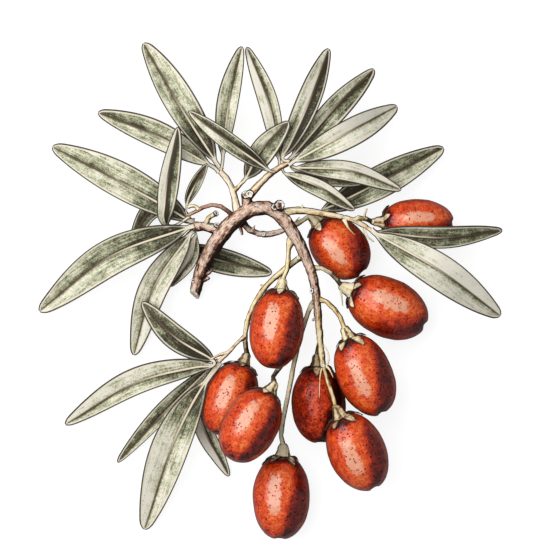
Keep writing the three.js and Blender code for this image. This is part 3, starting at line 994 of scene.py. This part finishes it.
def parent_of(node):
    """The piece that a twig or stalk grows on, and the point of the twig nearest to it."""
    older = [other for other in GROWN if other != node]
    older = older[:GROWN.index(node)] if node != STALKS[-1] else ["stalk_10"]
    best = None
    for other in older:
        for vertex in frame["nodes"][node].data.vertices:
            gap = surfaces[other].find_nearest(vertex.co)[3]
            if best is None or gap < best[0]:
                best = (gap, other, vertex.co.copy())
    return best[1], best[2]


def rooted_copy(node, name):
    """A welded copy of a woody CAD node, pushed into its parent, and the middle of its base."""
    piece = copy_of(frame["nodes"][node], name)
    with editing(piece):
        bpy.ops.mesh.select_all(action="SELECT")
        bpy.ops.mesh.remove_doubles(threshold=WELD)
    if node == "main_branch":
        return piece, Vector(min(corners(node), key=lambda co: co[2]))
    parent, near = parent_of(node)
    surface = surfaces[parent]
    facing = lambda co: surface.find_nearest(co)[3] < ROOT_GAP and (co - near).length < ROOT_SPAN
    ring = [vertex.co.copy() for vertex in piece.data.vertices if facing(vertex.co)]
    base = sum(ring, Vector()) / len(ring)
    inwards = sum((surface.find_nearest(co)[0] - co for co in ring), Vector()).normalized()
    with editing(piece):
        pick(piece, facing)
        resize((ROOT_SPREAD,) * 3, base)
        move(inwards * ROOT_PUSH)
    return piece, base + inwards * ROOT_PUSH


# %% [markdown]
# Bark and twigs are streaked along their length, round every bend. A pattern can follow a bend if
# each vertex knows how far along the twig it is. Walking outwards from the base over the edges of
# the mesh, always from the nearest vertex not yet visited, gives that distance, and the mean place
# of the vertices at each distance gives the twig's centre line.

# %% Distance along the wood
SLICE = 0.6 * MM
GRAIN_STRETCH = 7


def run_from(piece, base):
    """Each vertex's distance along the mesh from its base."""
    mesh = piece.data
    beside = [[] for _ in mesh.vertices]
    for edge in mesh.edges:
        a, b = edge.vertices
        step = (mesh.vertices[a].co - mesh.vertices[b].co).length
        beside[a].append((b, step))
        beside[b].append((a, step))
    run = np.full(len(mesh.vertices), np.inf)
    start = min(mesh.vertices, key=lambda vertex: (vertex.co - base).length).index
    run[start] = 0
    queue = [(0, start)]
    while queue:
        so_far, here = heapq.heappop(queue)
        if so_far > run[here]:
            continue
        for there, step in beside[here]:
            if so_far + step < run[there]:
                run[there] = so_far + step
                heapq.heappush(queue, (run[there], there))
    return np.where(np.isfinite(run), run, 0)


def add_grain(piece, base):
    """Writes the run and the stretched grain coordinates on a piece, in millimetres."""
    run = run_from(piece, base)
    places = np.array([vertex.co for vertex in piece.data.vertices])
    slices = (run / SLICE).astype(int)
    counts = np.bincount(slices)
    filled = np.flatnonzero(counts)
    centres = np.stack([np.bincount(slices, places[:, k])[filled] / counts[filled] for k in range(3)], 1)
    middles = (filled + 0.5) * SLICE
    on_line = np.stack([np.interp(run, middles, centres[:, k]) for k in range(3)], 1)
    grain = (places - on_line + run[:, None] / GRAIN_STRETCH / math.sqrt(3)) / MM
    write_numbers(piece, "run", run / MM)
    layer = piece.data.attributes.new("grain", "FLOAT_VECTOR", "POINT")
    layer.data.foreach_set("vector", grain.astype(np.float32).ravel())
    write_shade(piece)
    return middles, centres


# %% [markdown]
# The branch is old wood with a rough bark, the side twigs are younger and smoother, and the berry
# stalks are green and nearly smooth. They differ only in how fine their skin of squares is and how
# deep two layers of noise press into it, so one function makes them all.

# %% Branch, twigs and stalks
LOOKS = {
    "bark": {"voxel": 0.2 * MM, "lumps": 0.5 * MM, "grit": 0.16 * MM},
    "twig": {"voxel": 0.15 * MM, "lumps": 0.3 * MM, "grit": 0.08 * MM},
    "red_shoot": {"voxel": 0.13 * MM, "lumps": 0.25 * MM, "grit": 0.05 * MM},
    "stalk": {"voxel": 0.15 * MM, "lumps": 0.25 * MM, "grit": 0.05 * MM},
}
SMOOTHING = 6
CALYX_TOP = 2.6 * MM
SAW_CUT = Vector((-0.5, 0.9, 0.6)) * MM
SAW_FACING = Vector((-0.6, -0.75, 0.28)).normalized()
SAW_DEPTH = 0.3 * MM
LUMP_LENGTH = 2.6 * MM
GRIT_LENGTH = 0.7 * MM

lumps = clouds("lumps", LUMP_LENGTH)
grit = clouds("grit", GRIT_LENGTH)


def woody(node, name, berry=None):
    """A woody piece and its centre line. A stalk is cut off in its calyx, and the branch is sawn."""
    look = LOOKS[slots[node]]
    piece, base = rooted_copy(node, name)
    if berry:
        top = berry["middle"] + berry["axis"] * (berry["length"] / 2 + CALYX_TOP)
        with editing(piece):
            cut(top, berry["axis"], use_fill=True, clear_inner=True)
    if node == "main_branch":
        with editing(piece):
            cut(base + SAW_CUT, SAW_FACING, use_fill=True, clear_outer=True)
    modify(piece, "REMESH", mode="VOXEL", voxel_size=look["voxel"])
    modify(piece, "SMOOTH", factor=0.5, iterations=SMOOTHING)
    displace(piece, lumps, look["lumps"])
    displace(piece, grit, look["grit"])
    line = add_grain(piece, base)
    if node == "main_branch":
        height = [(vertex.co - base - SAW_CUT).dot(SAW_FACING) for vertex in piece.data.vertices]
        write_numbers(piece, "cut", [h > -SAW_DEPTH for h in height])
    return piece, line


wood_pieces, lines = {}, {}
for node in WOODY:
    name = node.replace("_twig", "_shoot") if "twig" in node else f"{node}_wood"
    wood_pieces[node], lines[node] = woody(node, name)
for number, found in berries.items():
    node = f"stalk_{number}"
    wood_pieces[node], lines[node] = woody(node, f"stem_{number}", found)
print("wood:", {node: len(piece.data.polygons) for node, piece in wood_pieces.items()})

# %% [markdown]
# Old bark is a pinkish grey-brown with dark cracks along it and pale specks, the lenticels that it
# breathes through. Young wood is cream to tan, the red shoot is dark red-brown, and the berry stalks
# are straw with brown lines. Wood is green where it is youngest: the branch towards its end, and each
# stalk towards its berry. Painted shade makes each piece darker down its sides and on the side away
# from the lamp, with a dark edge that is widest there. The tones make one piece darker than another:
# less is paler, and the lowest paint light into stalks that lie in their neighbours' shade.

# %% Wood finishes
THIRDS = (0, 0.35, 0.7, 1)
GREEN_STOPS = ramp_stops(THIRDS, "FFF7D4 F4DE9E C09C54 4C351A")


def wood_finish(name, stops, roughness, crack, speck_colour, speck_amount, relief, outline):
    """A wood's material. Its relief is in millimetres. Painted shade makes it paler on top and darker
    down its sides and away from the lamp, and its dark edge starts where it is steeper than outline."""
    made = Finish(name, roughness=roughness, specular=0.3)
    grain = made.attribute("grain", output="Vector")
    shade, level, green, tone = made.attributes("shade", "level", "green", "tone")
    streaks = made.noise(1.6, detail=6, vector=grain, roughness=0.72)
    fine = made.noise(5, detail=4, vector=grain, roughness=0.65)
    patches = made.noise(0.5, detail=3)
    # Painted shade: a dark edge where the wood is steep, widest on the side away from the lamp.
    edge = (abs(level) - shade * 0.25).ramp(outline, outline * 0.6)
    # Painted shade: paler on top, darker down the sides and on the side away from the lamp.
    depth = tone - 0.08 + shade.ramp(-0.1, 0.7) * 0.85 + abs(level).ramp(0.97, 0.45) * 0.50
    depth = depth + (patches - 0.5) * 1.1
    depth = depth + (streaks - 0.5) * (3.4 - green) + (fine - 0.5) * 1.6
    skin = made.mix(green, made.coloured(depth, stops), made.coloured(depth - 0.05, GREEN_STOPS))
    cracks = streaks.ramp(0.43, 0.37) * crack
    skin = made.mix(cracks, skin, stops[-1][1])
    specks = made.specks(1.1, vector=grain).ramp(0.24, 0.14) * speck_amount
    skin = made.mix(specks, skin, speck_colour)
    skin = made.mix(edge * 0.95, skin, stops[-1][1])
    sawn = made.attribute("cut")
    waves = sawn * 40
    rings = waves.maths("SINE", waves) * 0.5 + 0.5
    pale = made.mix(rings * 0.4, colour("FBF4E8"), colour("D9BC98"))
    made.set("Base Color", made.mix(sawn.ramp(0.1, 0.3), skin, pale))
    made.bump(streaks + fine * 0.4 - cracks * 0.5 + specks * 0.3, relief)
    return made.material


WOOD_FINISHES = {
    "bark": {"name": "bark", "stops": ramp_stops((0, 0.3, 0.6, 1), "F8E0CE CFA68C 8A5D43 24130C"),
             "roughness": 0.8, "crack": 0.8, "speck_colour": colour("F0D9C6"), "speck_amount": 0.5,
             "relief": 0.25, "outline": 0.76},
    "twig": {"name": "young_wood", "stops": ramp_stops(THIRDS, "FFF3DA F0CE98 AC7842 422614"),
             "roughness": 0.65, "crack": 0.5, "speck_colour": colour("6A4528"), "speck_amount": 0.5,
             "relief": 0.12, "outline": 0.88},
    "red_shoot": {"name": "red_wood", "stops": ramp_stops(THIRDS, "D8AA90 945444 5A302A 241211"),
                  "roughness": 0.5, "crack": 0.3, "speck_colour": colour("C09A80"), "speck_amount": 0.3,
                  "relief": 0.06, "outline": 0.88},
    "stalk": {"name": "green_stalk", "stops": ramp_stops(THIRDS, "FAEAC0 E4C384 9E7440 38240F"),
              "roughness": 0.55, "crack": 0.4, "speck_colour": colour("6A4C2C"), "speck_amount": 0.45,
              "relief": 0.06, "outline": 0.86},
}
wood_materials = {look: wood_finish(**numbers) for look, numbers in WOOD_FINISHES.items()}

STALK_GREEN = (0.15, 0.75)
STUB_GREEN = (3.2, 4.6)
GREEN = {"main_branch": (0.80, 0.90), "right_twig": (1.2, -1), "stalk_9": (0.4, 0.9)}
# The most negative tones, on stalks 3, 7, 8 and 10, paint light into stalks that lie in their neighbours'
# shade.
WOOD_TONES = {
    "main_branch": 0.16, "left_twig": 0.16, "red_shoot": 0.20, "upper_left_twig": 0.05,
    "upper_left_side_twig": 0.33, "upper_right_twig": 0.17, "right_twig": 0.08, "back_twig": -0.22,
    "lower_twig": 0.08, "lower_side_twig": 0.13, "stalk_1": 0.03, "stalk_2": -0.2, "stalk_3": -0.75,
    "stalk_4": 0.22, "stalk_5": 0.56, "stalk_6": -0.27, "stalk_7": -0.8, "stalk_8": -0.6,
    "stalk_9": 0.46, "stalk_10": -0.26,
}


def grown_green(node, piece):
    """How green each vertex of a woody piece is."""
    span = GREEN.get(node, STALK_GREEN if "stalk" in node else None)
    run = read_numbers(piece, "run")
    if node == "left_twig":
        stub = max(corners("left_twig"), key=lambda co: co[0] + co[1])
        away = [(vertex.co - Vector(stub)).length / MM for vertex in piece.data.vertices]
        return np.interp(away, STUB_GREEN, [1, 0])
    return np.clip((run / run.max() - span[0]) / (span[1] - span[0]), 0, 1) if span else run * 0


for node, piece in wood_pieces.items():
    write_numbers(piece, "green", grown_green(node, piece))
    write_numbers(piece, "tone", WOOD_TONES.get(node, 0))
    finish_piece(piece, [node], slots[node], wood_materials[slots[node]])

# %% [markdown]
# What is left of the flower holds the berry: the calyx, a small green cup with five ragged lobes
# that lie over the berry's shoulders. It starts as a circle, which is extruded ring by ring into a
# cup. Then each lobe is pulled out of the rim over four vertices and narrowed to its tip.

# %% The calyx master
CALYX_VERTICES = 20
CALYX_RINGS = [(3.6, 0.58), (3.4, 0.85), (2.6, 1.05), (1.7, 1.35), (0.9, 1.7), (0.2, 2.1)]
LOBES = 5
LOBE_START = 1.5
LOBE_STEPS = [(-0.2, 2.6, 1.05), (-0.6, 3.05, 0.85), (-1.0, 3.5, 0.6), (-1.4, 3.95, 0.25)]
LOBE_LENGTHS = [1.45, 0.95, 1.2, 0.85, 1.1]

bpy.ops.mesh.primitive_circle_add(vertices=CALYX_VERTICES, radius=CALYX_RINGS[0][1],
                                  location=(0, 0, CALYX_RINGS[0][0]))
calyx_master = named("calyx_master")

rim_height, rim_radius = CALYX_RINGS[-1]
with editing(calyx_master):
    for (height, radius), (lower, wider) in zip(CALYX_RINGS, CALYX_RINGS[1:]):
        pick(calyx_master, lambda co: abs(co.z - height) < NEAR)
        extrude((0, 0, lower - height))
        resize((wider / radius, wider / radius, 1), (0, 0, lower))
    for lobe, length in enumerate(LOBE_LENGTHS):
        middle = math.tau * (lobe * CALYX_VERTICES / LOBES + LOBE_START) / CALYX_VERTICES
        outwards = Vector((-math.sin(middle), math.cos(middle), 0))
        pick(calyx_master, lambda co: (abs(co.z - rim_height) < NEAR
                                       and co.xy.angle(outwards.xy) < math.pi / LOBES))
        at = outwards * rim_radius + UP * rim_height
        for height, reach, narrow in LOBE_STEPS:
            reach = rim_radius + (reach - rim_radius) * length
            height = rim_height + (height - rim_height) * length
            ahead = outwards * reach + UP * height - at
            at = at + ahead
            extrude(ahead)
            resize((narrow,) * 3, at)
    mesh = bmesh.from_edit_mesh(calyx_master.data)
    on_border = [vertex.is_boundary and vertex.co.z < rim_height + NEAR for vertex in mesh.verts]
    turns = [math.atan2(-vertex.co.x, vertex.co.y) for vertex in mesh.verts]
first_lobe = math.tau * LOBE_START / CALYX_VERTICES
write_numbers(calyx_master, "border", on_border)
write_numbers(calyx_master, "seam", [0.5 - 0.5 * math.cos(LOBES * (turn - first_lobe)) for turn in turns])
print("calyx master:", len(calyx_master.data.vertices), "vertices")

# %% [markdown]
# Each calyx is scaled with its berry and turned its own way. A Shrinkwrap modifier lifts out the
# parts that would lie under the berry's skin, so the lobes follow the skin. Then the cup gets its
# thickness and is crumpled a little, as dry petals are.

# %% Ten calyces
CALYX_SIZE = 14 * MM
CALYX_THICK = 0.3 * MM
CALYX_SINK = 0.5 * MM
CALYX_CLEAR = 0.12 * MM
CALYX_CRUMPLE = 0.65 * MM
DRY = {1: 0.35, 6: 0.3, 8: 0.3, 9: 0.4}
# Less is paler. Calyx 10 lies in its neighbours' shade and is painted light with the palest tone.
CALYX_TONES = {3: -0.25, 4: -0.35, 5: 0.14, 6: -0.05, 7: -0.1, 8: 0.3, 9: 0.16, 10: -0.7}
CALYX_ROLL = 1.9
CALYX_TURNS = {7: 0.4, 10: 0.63}
CRUMPLE_LENGTH = 1.5 * MM

crumple = clouds("crumple", CRUMPLE_LENGTH)
calyx_pieces = {}
for number, found in berries.items():
    piece = copy_of(calyx_master, f"calyx_{number}")
    write_numbers(piece, "along", [vertex.co.z for vertex in piece.data.vertices])
    size = found["width"] / CALYX_SIZE * MM
    lip = found["middle"] + found["axis"] * (found["length"] / 2 - CALYX_SINK)
    placed(piece, lip, found["axis"], number * CALYX_ROLL + CALYX_TURNS.get(number, 0), (size,) * 3)
    subdivide(piece)
    modify(piece, "SHRINKWRAP", target=berry_pieces[number], wrap_method="NEAREST_SURFACEPOINT",
           wrap_mode="OUTSIDE", offset=CALYX_CLEAR)
    modify(piece, "SOLIDIFY", thickness=CALYX_THICK, offset=1, material_offset_rim=1)
    subdivide(piece)
    displace(piece, crumple, CALYX_CRUMPLE)
    write_shade(piece)
    write_numbers(piece, "dry", DRY.get(number, 0))
    write_numbers(piece, "tone", CALYX_TONES.get(number, 0))
    calyx_pieces[number] = piece
bpy.data.objects.remove(calyx_master)


def calyx_finish():
    """A depth picks the green from a ramp, with painted shade in it, and dry patches and the dark rim lie
    over it.
    """
    made = Finish("calyx", roughness=0.6, specular=0.3)
    along, shade, level, dry = made.attributes("along", "shade", "level", "dry")
    border, seam, tone = made.attributes("border", "seam", "tone")
    mottle = made.noise(1.6, detail=5, roughness=0.65)
    blotch = made.noise(0.6, detail=2)
    # Painted shade: darker on the side away from the lamp, where it is steep, and in the grooves between
    # the lobes.
    depth = shade.ramp(-0.3, 0.9) * 0.48 - 0.13 + (mottle - 0.5) * 2.2 + (blotch - 0.5) * 0.7 + dry * 0.2
    depth = depth + tone + abs(level).ramp(0.85, 0.3) * 0.4 + seam.ramp(0.4, 0.9) * 0.75
    green = made.coloured(depth, ramp_stops((0, 0.3, 0.6, 1), "FAEECA E6D09C AA8A54 402C1A"))
    brown = along.ramp(0.4, -0.9) * blotch.ramp(0.4, 0.6) * 0.6
    withered = made.mix((brown + dry * 0.7).clamped(), green, colour("A9785A"))
    rim = border.ramp(0.45, 0.8)
    # The dark line is the lobes' rim, joined by painted shade where the calyx is steep.
    lined = rim.maths("MAXIMUM", rim, abs(level).ramp(0.6, 0.38))
    made.set("Base Color", made.mix(lined * 0.92, withered, colour("2E2418")))
    made.bump(mottle - seam * 0.5, 0.2)
    return made.material


calyx_skin = calyx_finish()
calyx_edge = Finish("calyx_edge", roughness=0.7, specular=0.2)
brown = calyx_edge.noise(2).ramp(0.3, 0.7)
calyx_edge.set("Base Color", calyx_edge.mix(brown, colour("3A2A1A"), colour("7A5F3C")))
for number, piece in calyx_pieces.items():
    finish_piece(piece, [f"stalk_{number}"], "stalk", calyx_skin, calyx_edge.material)
print("calyces:", len(calyx_pieces), "of", len(calyx_pieces[1].data.polygons), "faces each")

# %% [markdown]
# The smallest parts grow on the wood: thorns, buds, bracts, the threads of old flowers, and the
# scars where shoots were cut. Each one is placed by naming the piece that it grows on, how far along
# it is, and its bearing: 0 is on top, and 90 is on the right when looking away from the root.

# %% Places on the wood
CUT_CORNERS = 8
ROUND = 0.06

skins = {node: BVHTree.FromPolygons([vertex.co for vertex in piece.data.vertices],
                                    [polygon.vertices for polygon in piece.data.polygons])
         for node, piece in wood_pieces.items()}


def on_wood(node, share, bearing):
    """A point on the skin of a woody piece, the way out of it and the way along it."""
    _, centres = lines[node]
    step = share * (len(centres) - 1)
    index = min(int(step), len(centres) - 2)
    centre = Vector(centres[index]).lerp(Vector(centres[index + 1]), step - index)
    after, before = centres[min(index + 3, len(centres) - 1)], centres[max(index - 2, 0)]
    ahead = Vector(after - before).normalized()
    right = ahead.cross(UP).normalized()
    turn = math.radians(bearing)
    out = right.cross(ahead) * math.cos(turn) + right * math.sin(turn)
    place, _, _, _ = skins[node].ray_cast(centre, out)
    return place, out, ahead


def cut_ends(node):
    """The middle, facing and radius of every sawn end of a CAD node: its flat round faces."""
    mesh = welded(node)
    bmesh.ops.dissolve_limit(mesh, angle_limit=math.radians(3), verts=mesh.verts, edges=mesh.edges)
    ends = []
    for face in mesh.faces:
        middle = face.calc_center_median()
        reach = np.array([(vertex.co - middle).length for vertex in face.verts])
        if len(reach) >= CUT_CORNERS and reach.std() < ROUND * reach.mean():
            ends.append((middle.copy(), face.normal.copy(), reach.mean()))
    mesh.free()
    return ends


ends = {node: cut_ends(node) for node in ("main_branch", "left_twig")}
print("sawn ends:", {node: [round(end[2] / MM, 2) for end in found] for node, found in ends.items()})

# %% [markdown]
# A thorn, a bud, a bract and a thread are the same shape in different proportions: a rod that tapers
# along a bent path. The rod is a cylinder, cut into short lengths so that it can bend. Its rings are
# scaled to the taper, and a Curve modifier lays it along its path.

# %% Tapering rods
ROD_SIDES = 8
ROD_STEPS = 8
ROD_ROOT = 0.4 * MM
ROD_FLARE = 0.5
ROD_FLARE_REACH = 0.125

bpy.ops.mesh.primitive_cylinder_add(vertices=ROD_SIDES, radius=1, depth=1, end_fill_type="TRIFAN",
                                    location=(0.5, 0, 0), rotation=(0, math.pi / 2, 0))
rod_blank = named("rod_blank")
with editing(rod_blank):
    for step in range(1, ROD_STEPS):
        cut((step / ROD_STEPS, 0, 0), (1, 0, 0))


def rod(name, node, share, bearing, path, root, tip, flat=1, look="stalk", green=0, tone=0):
    """A rod that leaves the wood and follows a path of places round its foot. The path is in
    millimetres, and so are root and tip, the radii at its ends."""
    place, out, _ = on_wood(node, share, bearing)
    points = [place - out * ROD_ROOT] + [place + Vector(step) * MM for step in path]
    guide = guide_through(points)
    length = guide.data.splines[0].calc_length()
    piece = copy_of(rod_blank, name)
    with editing(piece):
        for step in range(ROD_STEPS + 1):
            at = step / ROD_STEPS
            flare = 1 + ROD_FLARE * math.exp(-at / ROD_FLARE_REACH)
            radius = (root + (tip - root) * at) * flare * MM
            pick(piece, lambda co: abs(co.x - at) < NEAR)
            resize((1, radius, radius * flat), (at, 0, 0))
        pick(piece, lambda co: True)
        resize((length, 1, 1))
    bend(piece, guide)
    subdivide(piece)
    add_grain(piece, points[0])
    write_numbers(piece, "green", green)
    write_numbers(piece, "tone", tone)
    finish_piece(piece, [node], slots[node], wood_materials[look])


rod("branch_thorn", "main_branch", 0.116, 80, [(0.7, 0.3, 0.3), (1.5, 1.3, 0.5)], 0.8, 0.15, look="bark",
    tone=0.3)
rod("branch_spur", "main_branch", 0.362, 95, [(0.2, -0.9, -0.4), (0.5, -2.2, -1.0)], 0.6, 0.35, look="bark")
rod("crown_spur", "main_branch", 0.551, -60, [(0.2, -0.3, 0.2), (0.1, -1.2, 0.1)], 0.45, 0.15, look="bark")
rod("branch_ledge", "main_branch", 0.849, 80, [(-0.3, -0.1, 0.1), (-0.45, -0.5, 0.1)], 0.45, 0.25,
    look="bark")
rod("back_bud", "back_twig", 0.344, -60, [(0.1, 0.3, 0.2), (0.35, 0.9, 0.4)], 0.55, 0.08, look="bark")
rod("back_bud_small", "back_twig", 0.56, -20, [(0.1, 0.1, 0.2), (0.3, 0.5, 0.3)], 0.3, 0.08, look="bark")
rod("right_bud", "right_twig", 0.23, -80, [(0, 0.25, 0.1), (0, 0.6, 0.2)], 0.55, 0.15, green=1)
rod("left_bud", "upper_left_twig", 0.72, -80, [(-0.2, 0.2, 0), (-0.4, 0.5, 0)], 0.35, 0.1, look="twig")
rod("thin_spur", "stalk_2", 0.12, -60, [(0.7, 0.6, 0.5), (1.5, 1.4, 0.9)], 0.3, 0.1, look="bark")
rod("upright_thorn", "stalk_1", 0.45, -70, [(0.2, 0.9, 0.4), (0.6, 1.9, 0.7)], 0.32, 0.26)
rod("arc_knob", "lower_twig", 0.588, 90, [(-0.3, 0.15, 0), (-0.5, 0.2, 0.1)], 0.35, 0.3)
rod("cut_bit", "red_shoot", 0.71, 60, [(-0.6, 0.55, 0), (-1.5, 0.6, 0.1), (-2.5, 0.2, 0)], 0.5, 0.5,
    green=0.7)
rod("stipule", "right_twig", 0.655, 60, [(0.6, -0.9, 0.2), (1.4, -2.3, -0.3), (2.9, -3.9, -1)], 0.55, 0.1,
    flat=0.5, green=1)
rod("thread_1", "right_twig", 0.90, 80, [(0.9, -1.6, 0.4), (2.7, -3.4, 0.2)], 0.2, 0.1, green=1)
rod("thread_2", "right_twig", 0.88, 95, [(0.7, -1.7, 0.3), (2.9, -3.6, 0)], 0.2, 0.1, green=0.6)
rod("calyx_bract", "stalk_3", 0.86, 95, [(0.5, -1, 0), (0.8, -2.8, -0.2), (1, -4.8, -0.4)], 0.34, 0.14,
    flat=0.5, green=0.2)
rod("hanging_thread", "stalk_9", 0.06, 80, [(-0.1, -1.2, 0.4), (-0.3, -3.6, 0.7), (-0.4, -7.6, 0.3)],
    0.26, 0.1, green=0.4)
rod("short_bract", "stalk_9", 0.05, -70, [(0.5, -0.5, 0.2), (1.2, -1.6, 0.2), (1.8, -3, 0)], 0.42, 0.1,
    flat=0.6, green=0.1)
rod("loop_bract", "main_branch", 0.925, -70, [(0.5, -0.9, 0.2), (1.2, -2.6, 0.3), (1.2, -4.6, 0.3),
    (0.4, -6, 0.3)], 0.16, 0.3, flat=0.6, green=1)
bpy.data.objects.remove(rod_blank)

# %% [markdown]
# Where a shoot was cut or fell, the bark heals over in a pale ring round a dark middle. The scar
# starts as a disc, is pulled up, and is inset twice. Its faces sink towards the middle.

# %% The scar master
SCAR_SIDES = 20
SCAR_RADIUS = 1.1
SCAR_DEPTH = 0.5
SCAR_STEPS = [(0.5, 0.92), (0.22, 0.85), (0.0, 0.62), (-0.25, 0.62), (-0.2, 0.4)]
SCAR_TILT = 0.4

bpy.ops.mesh.primitive_circle_add(vertices=SCAR_SIDES, radius=SCAR_RADIUS, fill_type="NGON",
                                  location=(0, 0, -SCAR_DEPTH))
scar_master = named("scar_master")
with editing(scar_master):
    bpy.ops.mesh.select_all(action="SELECT")
    for rise, size in SCAR_STEPS:
        extrude((0, 0, rise))
        resize((size, size, 1))
    bpy.ops.mesh.poke()
subdivide(scar_master, levels=2)
write_numbers(scar_master, "reach", [vertex.co.xy.length for vertex in scar_master.data.vertices])


def scar_finish():
    made = Finish("scar", roughness=0.75, specular=0.25)
    reach = made.attribute("reach") + (made.noise(1.4, detail=4) - 0.5) * 0.8
    grain = made.noise(1.5, detail=4)
    pale = made.mix(grain.ramp(0.45, 0.75), colour("FFFDF8"), colour("D8C0A6"))
    ringed = made.mix(reach.ramp(0.42, 0.30), pale, colour("150C08"))
    made.set("Base Color", made.mix(reach.ramp(0.74, 0.84), ringed, colour("1C100B")))
    made.bump(grain, 0.1)
    return made.material


scar_material = scar_finish()


def scar(name, node, at, axis, size, long=1):
    """A scar of a size in millimetres, drawn out by long along one side."""
    piece = placed(copy_of(scar_master, name), at, axis, 0, (size * MM, size * long * MM, size * MM))
    finish_piece(piece, [node], slots[node], scar_material)


def scar_on(name, node, share, bearing, size, long=1):
    place, out, _ = on_wood(node, share, bearing)
    scar(name, node, place, (out + UP * SCAR_TILT).normalized(), size, long)


scar_on("branch_scar", "main_branch", 0.764, 62, 0.85)
scar_on("crown_scar", "main_branch", 0.502, -25, 1.0)
scar_on("foot_scar", "upper_right_twig", 0.13, -10, 1.05)
scar_on("left_scar", "left_twig", 0.21, 50, 0.85)
scar_on("arc_scar", "lower_twig", 0.06, 20, 0.6)
scar_on("knot_hole", "main_branch", 0.075, -50, 0.5, long=1.5)
scar_on("back_scar", "back_twig", 0.53, 0, 0.6)
scar_on("joint_scar", "stalk_9", 0.03, 0, 0.55)
scar_on("node_scar", "right_twig", 0.645, 0, 0.4)

LEAST_SAWN = 0.6 * MM
CROWN_HEIGHT = 9 * MM
SAWN_SINK = 0.35
SAWN_LIFT = 0.25
SAWN_TILT = 1.1
SAWN_SIZE = 1.12
for node, found in ends.items():
    for number, (middle, facing, radius) in enumerate(found, 1):
        if radius > LEAST_SAWN and facing.y > 0 and middle.z > CROWN_HEIGHT:
            at = middle - facing * radius * SAWN_SINK + UP * radius * SAWN_LIFT
            tilted = (facing + UP * SAWN_TILT).normalized()
            scar(f"{node}_end_{number}", node, at, tilted, radius * SAWN_SIZE / MM)
bpy.data.objects.remove(scar_master)
print("scars:", sorted(o.name for o in bpy.data.objects if "scar" in o.name or "_end_" in o.name))
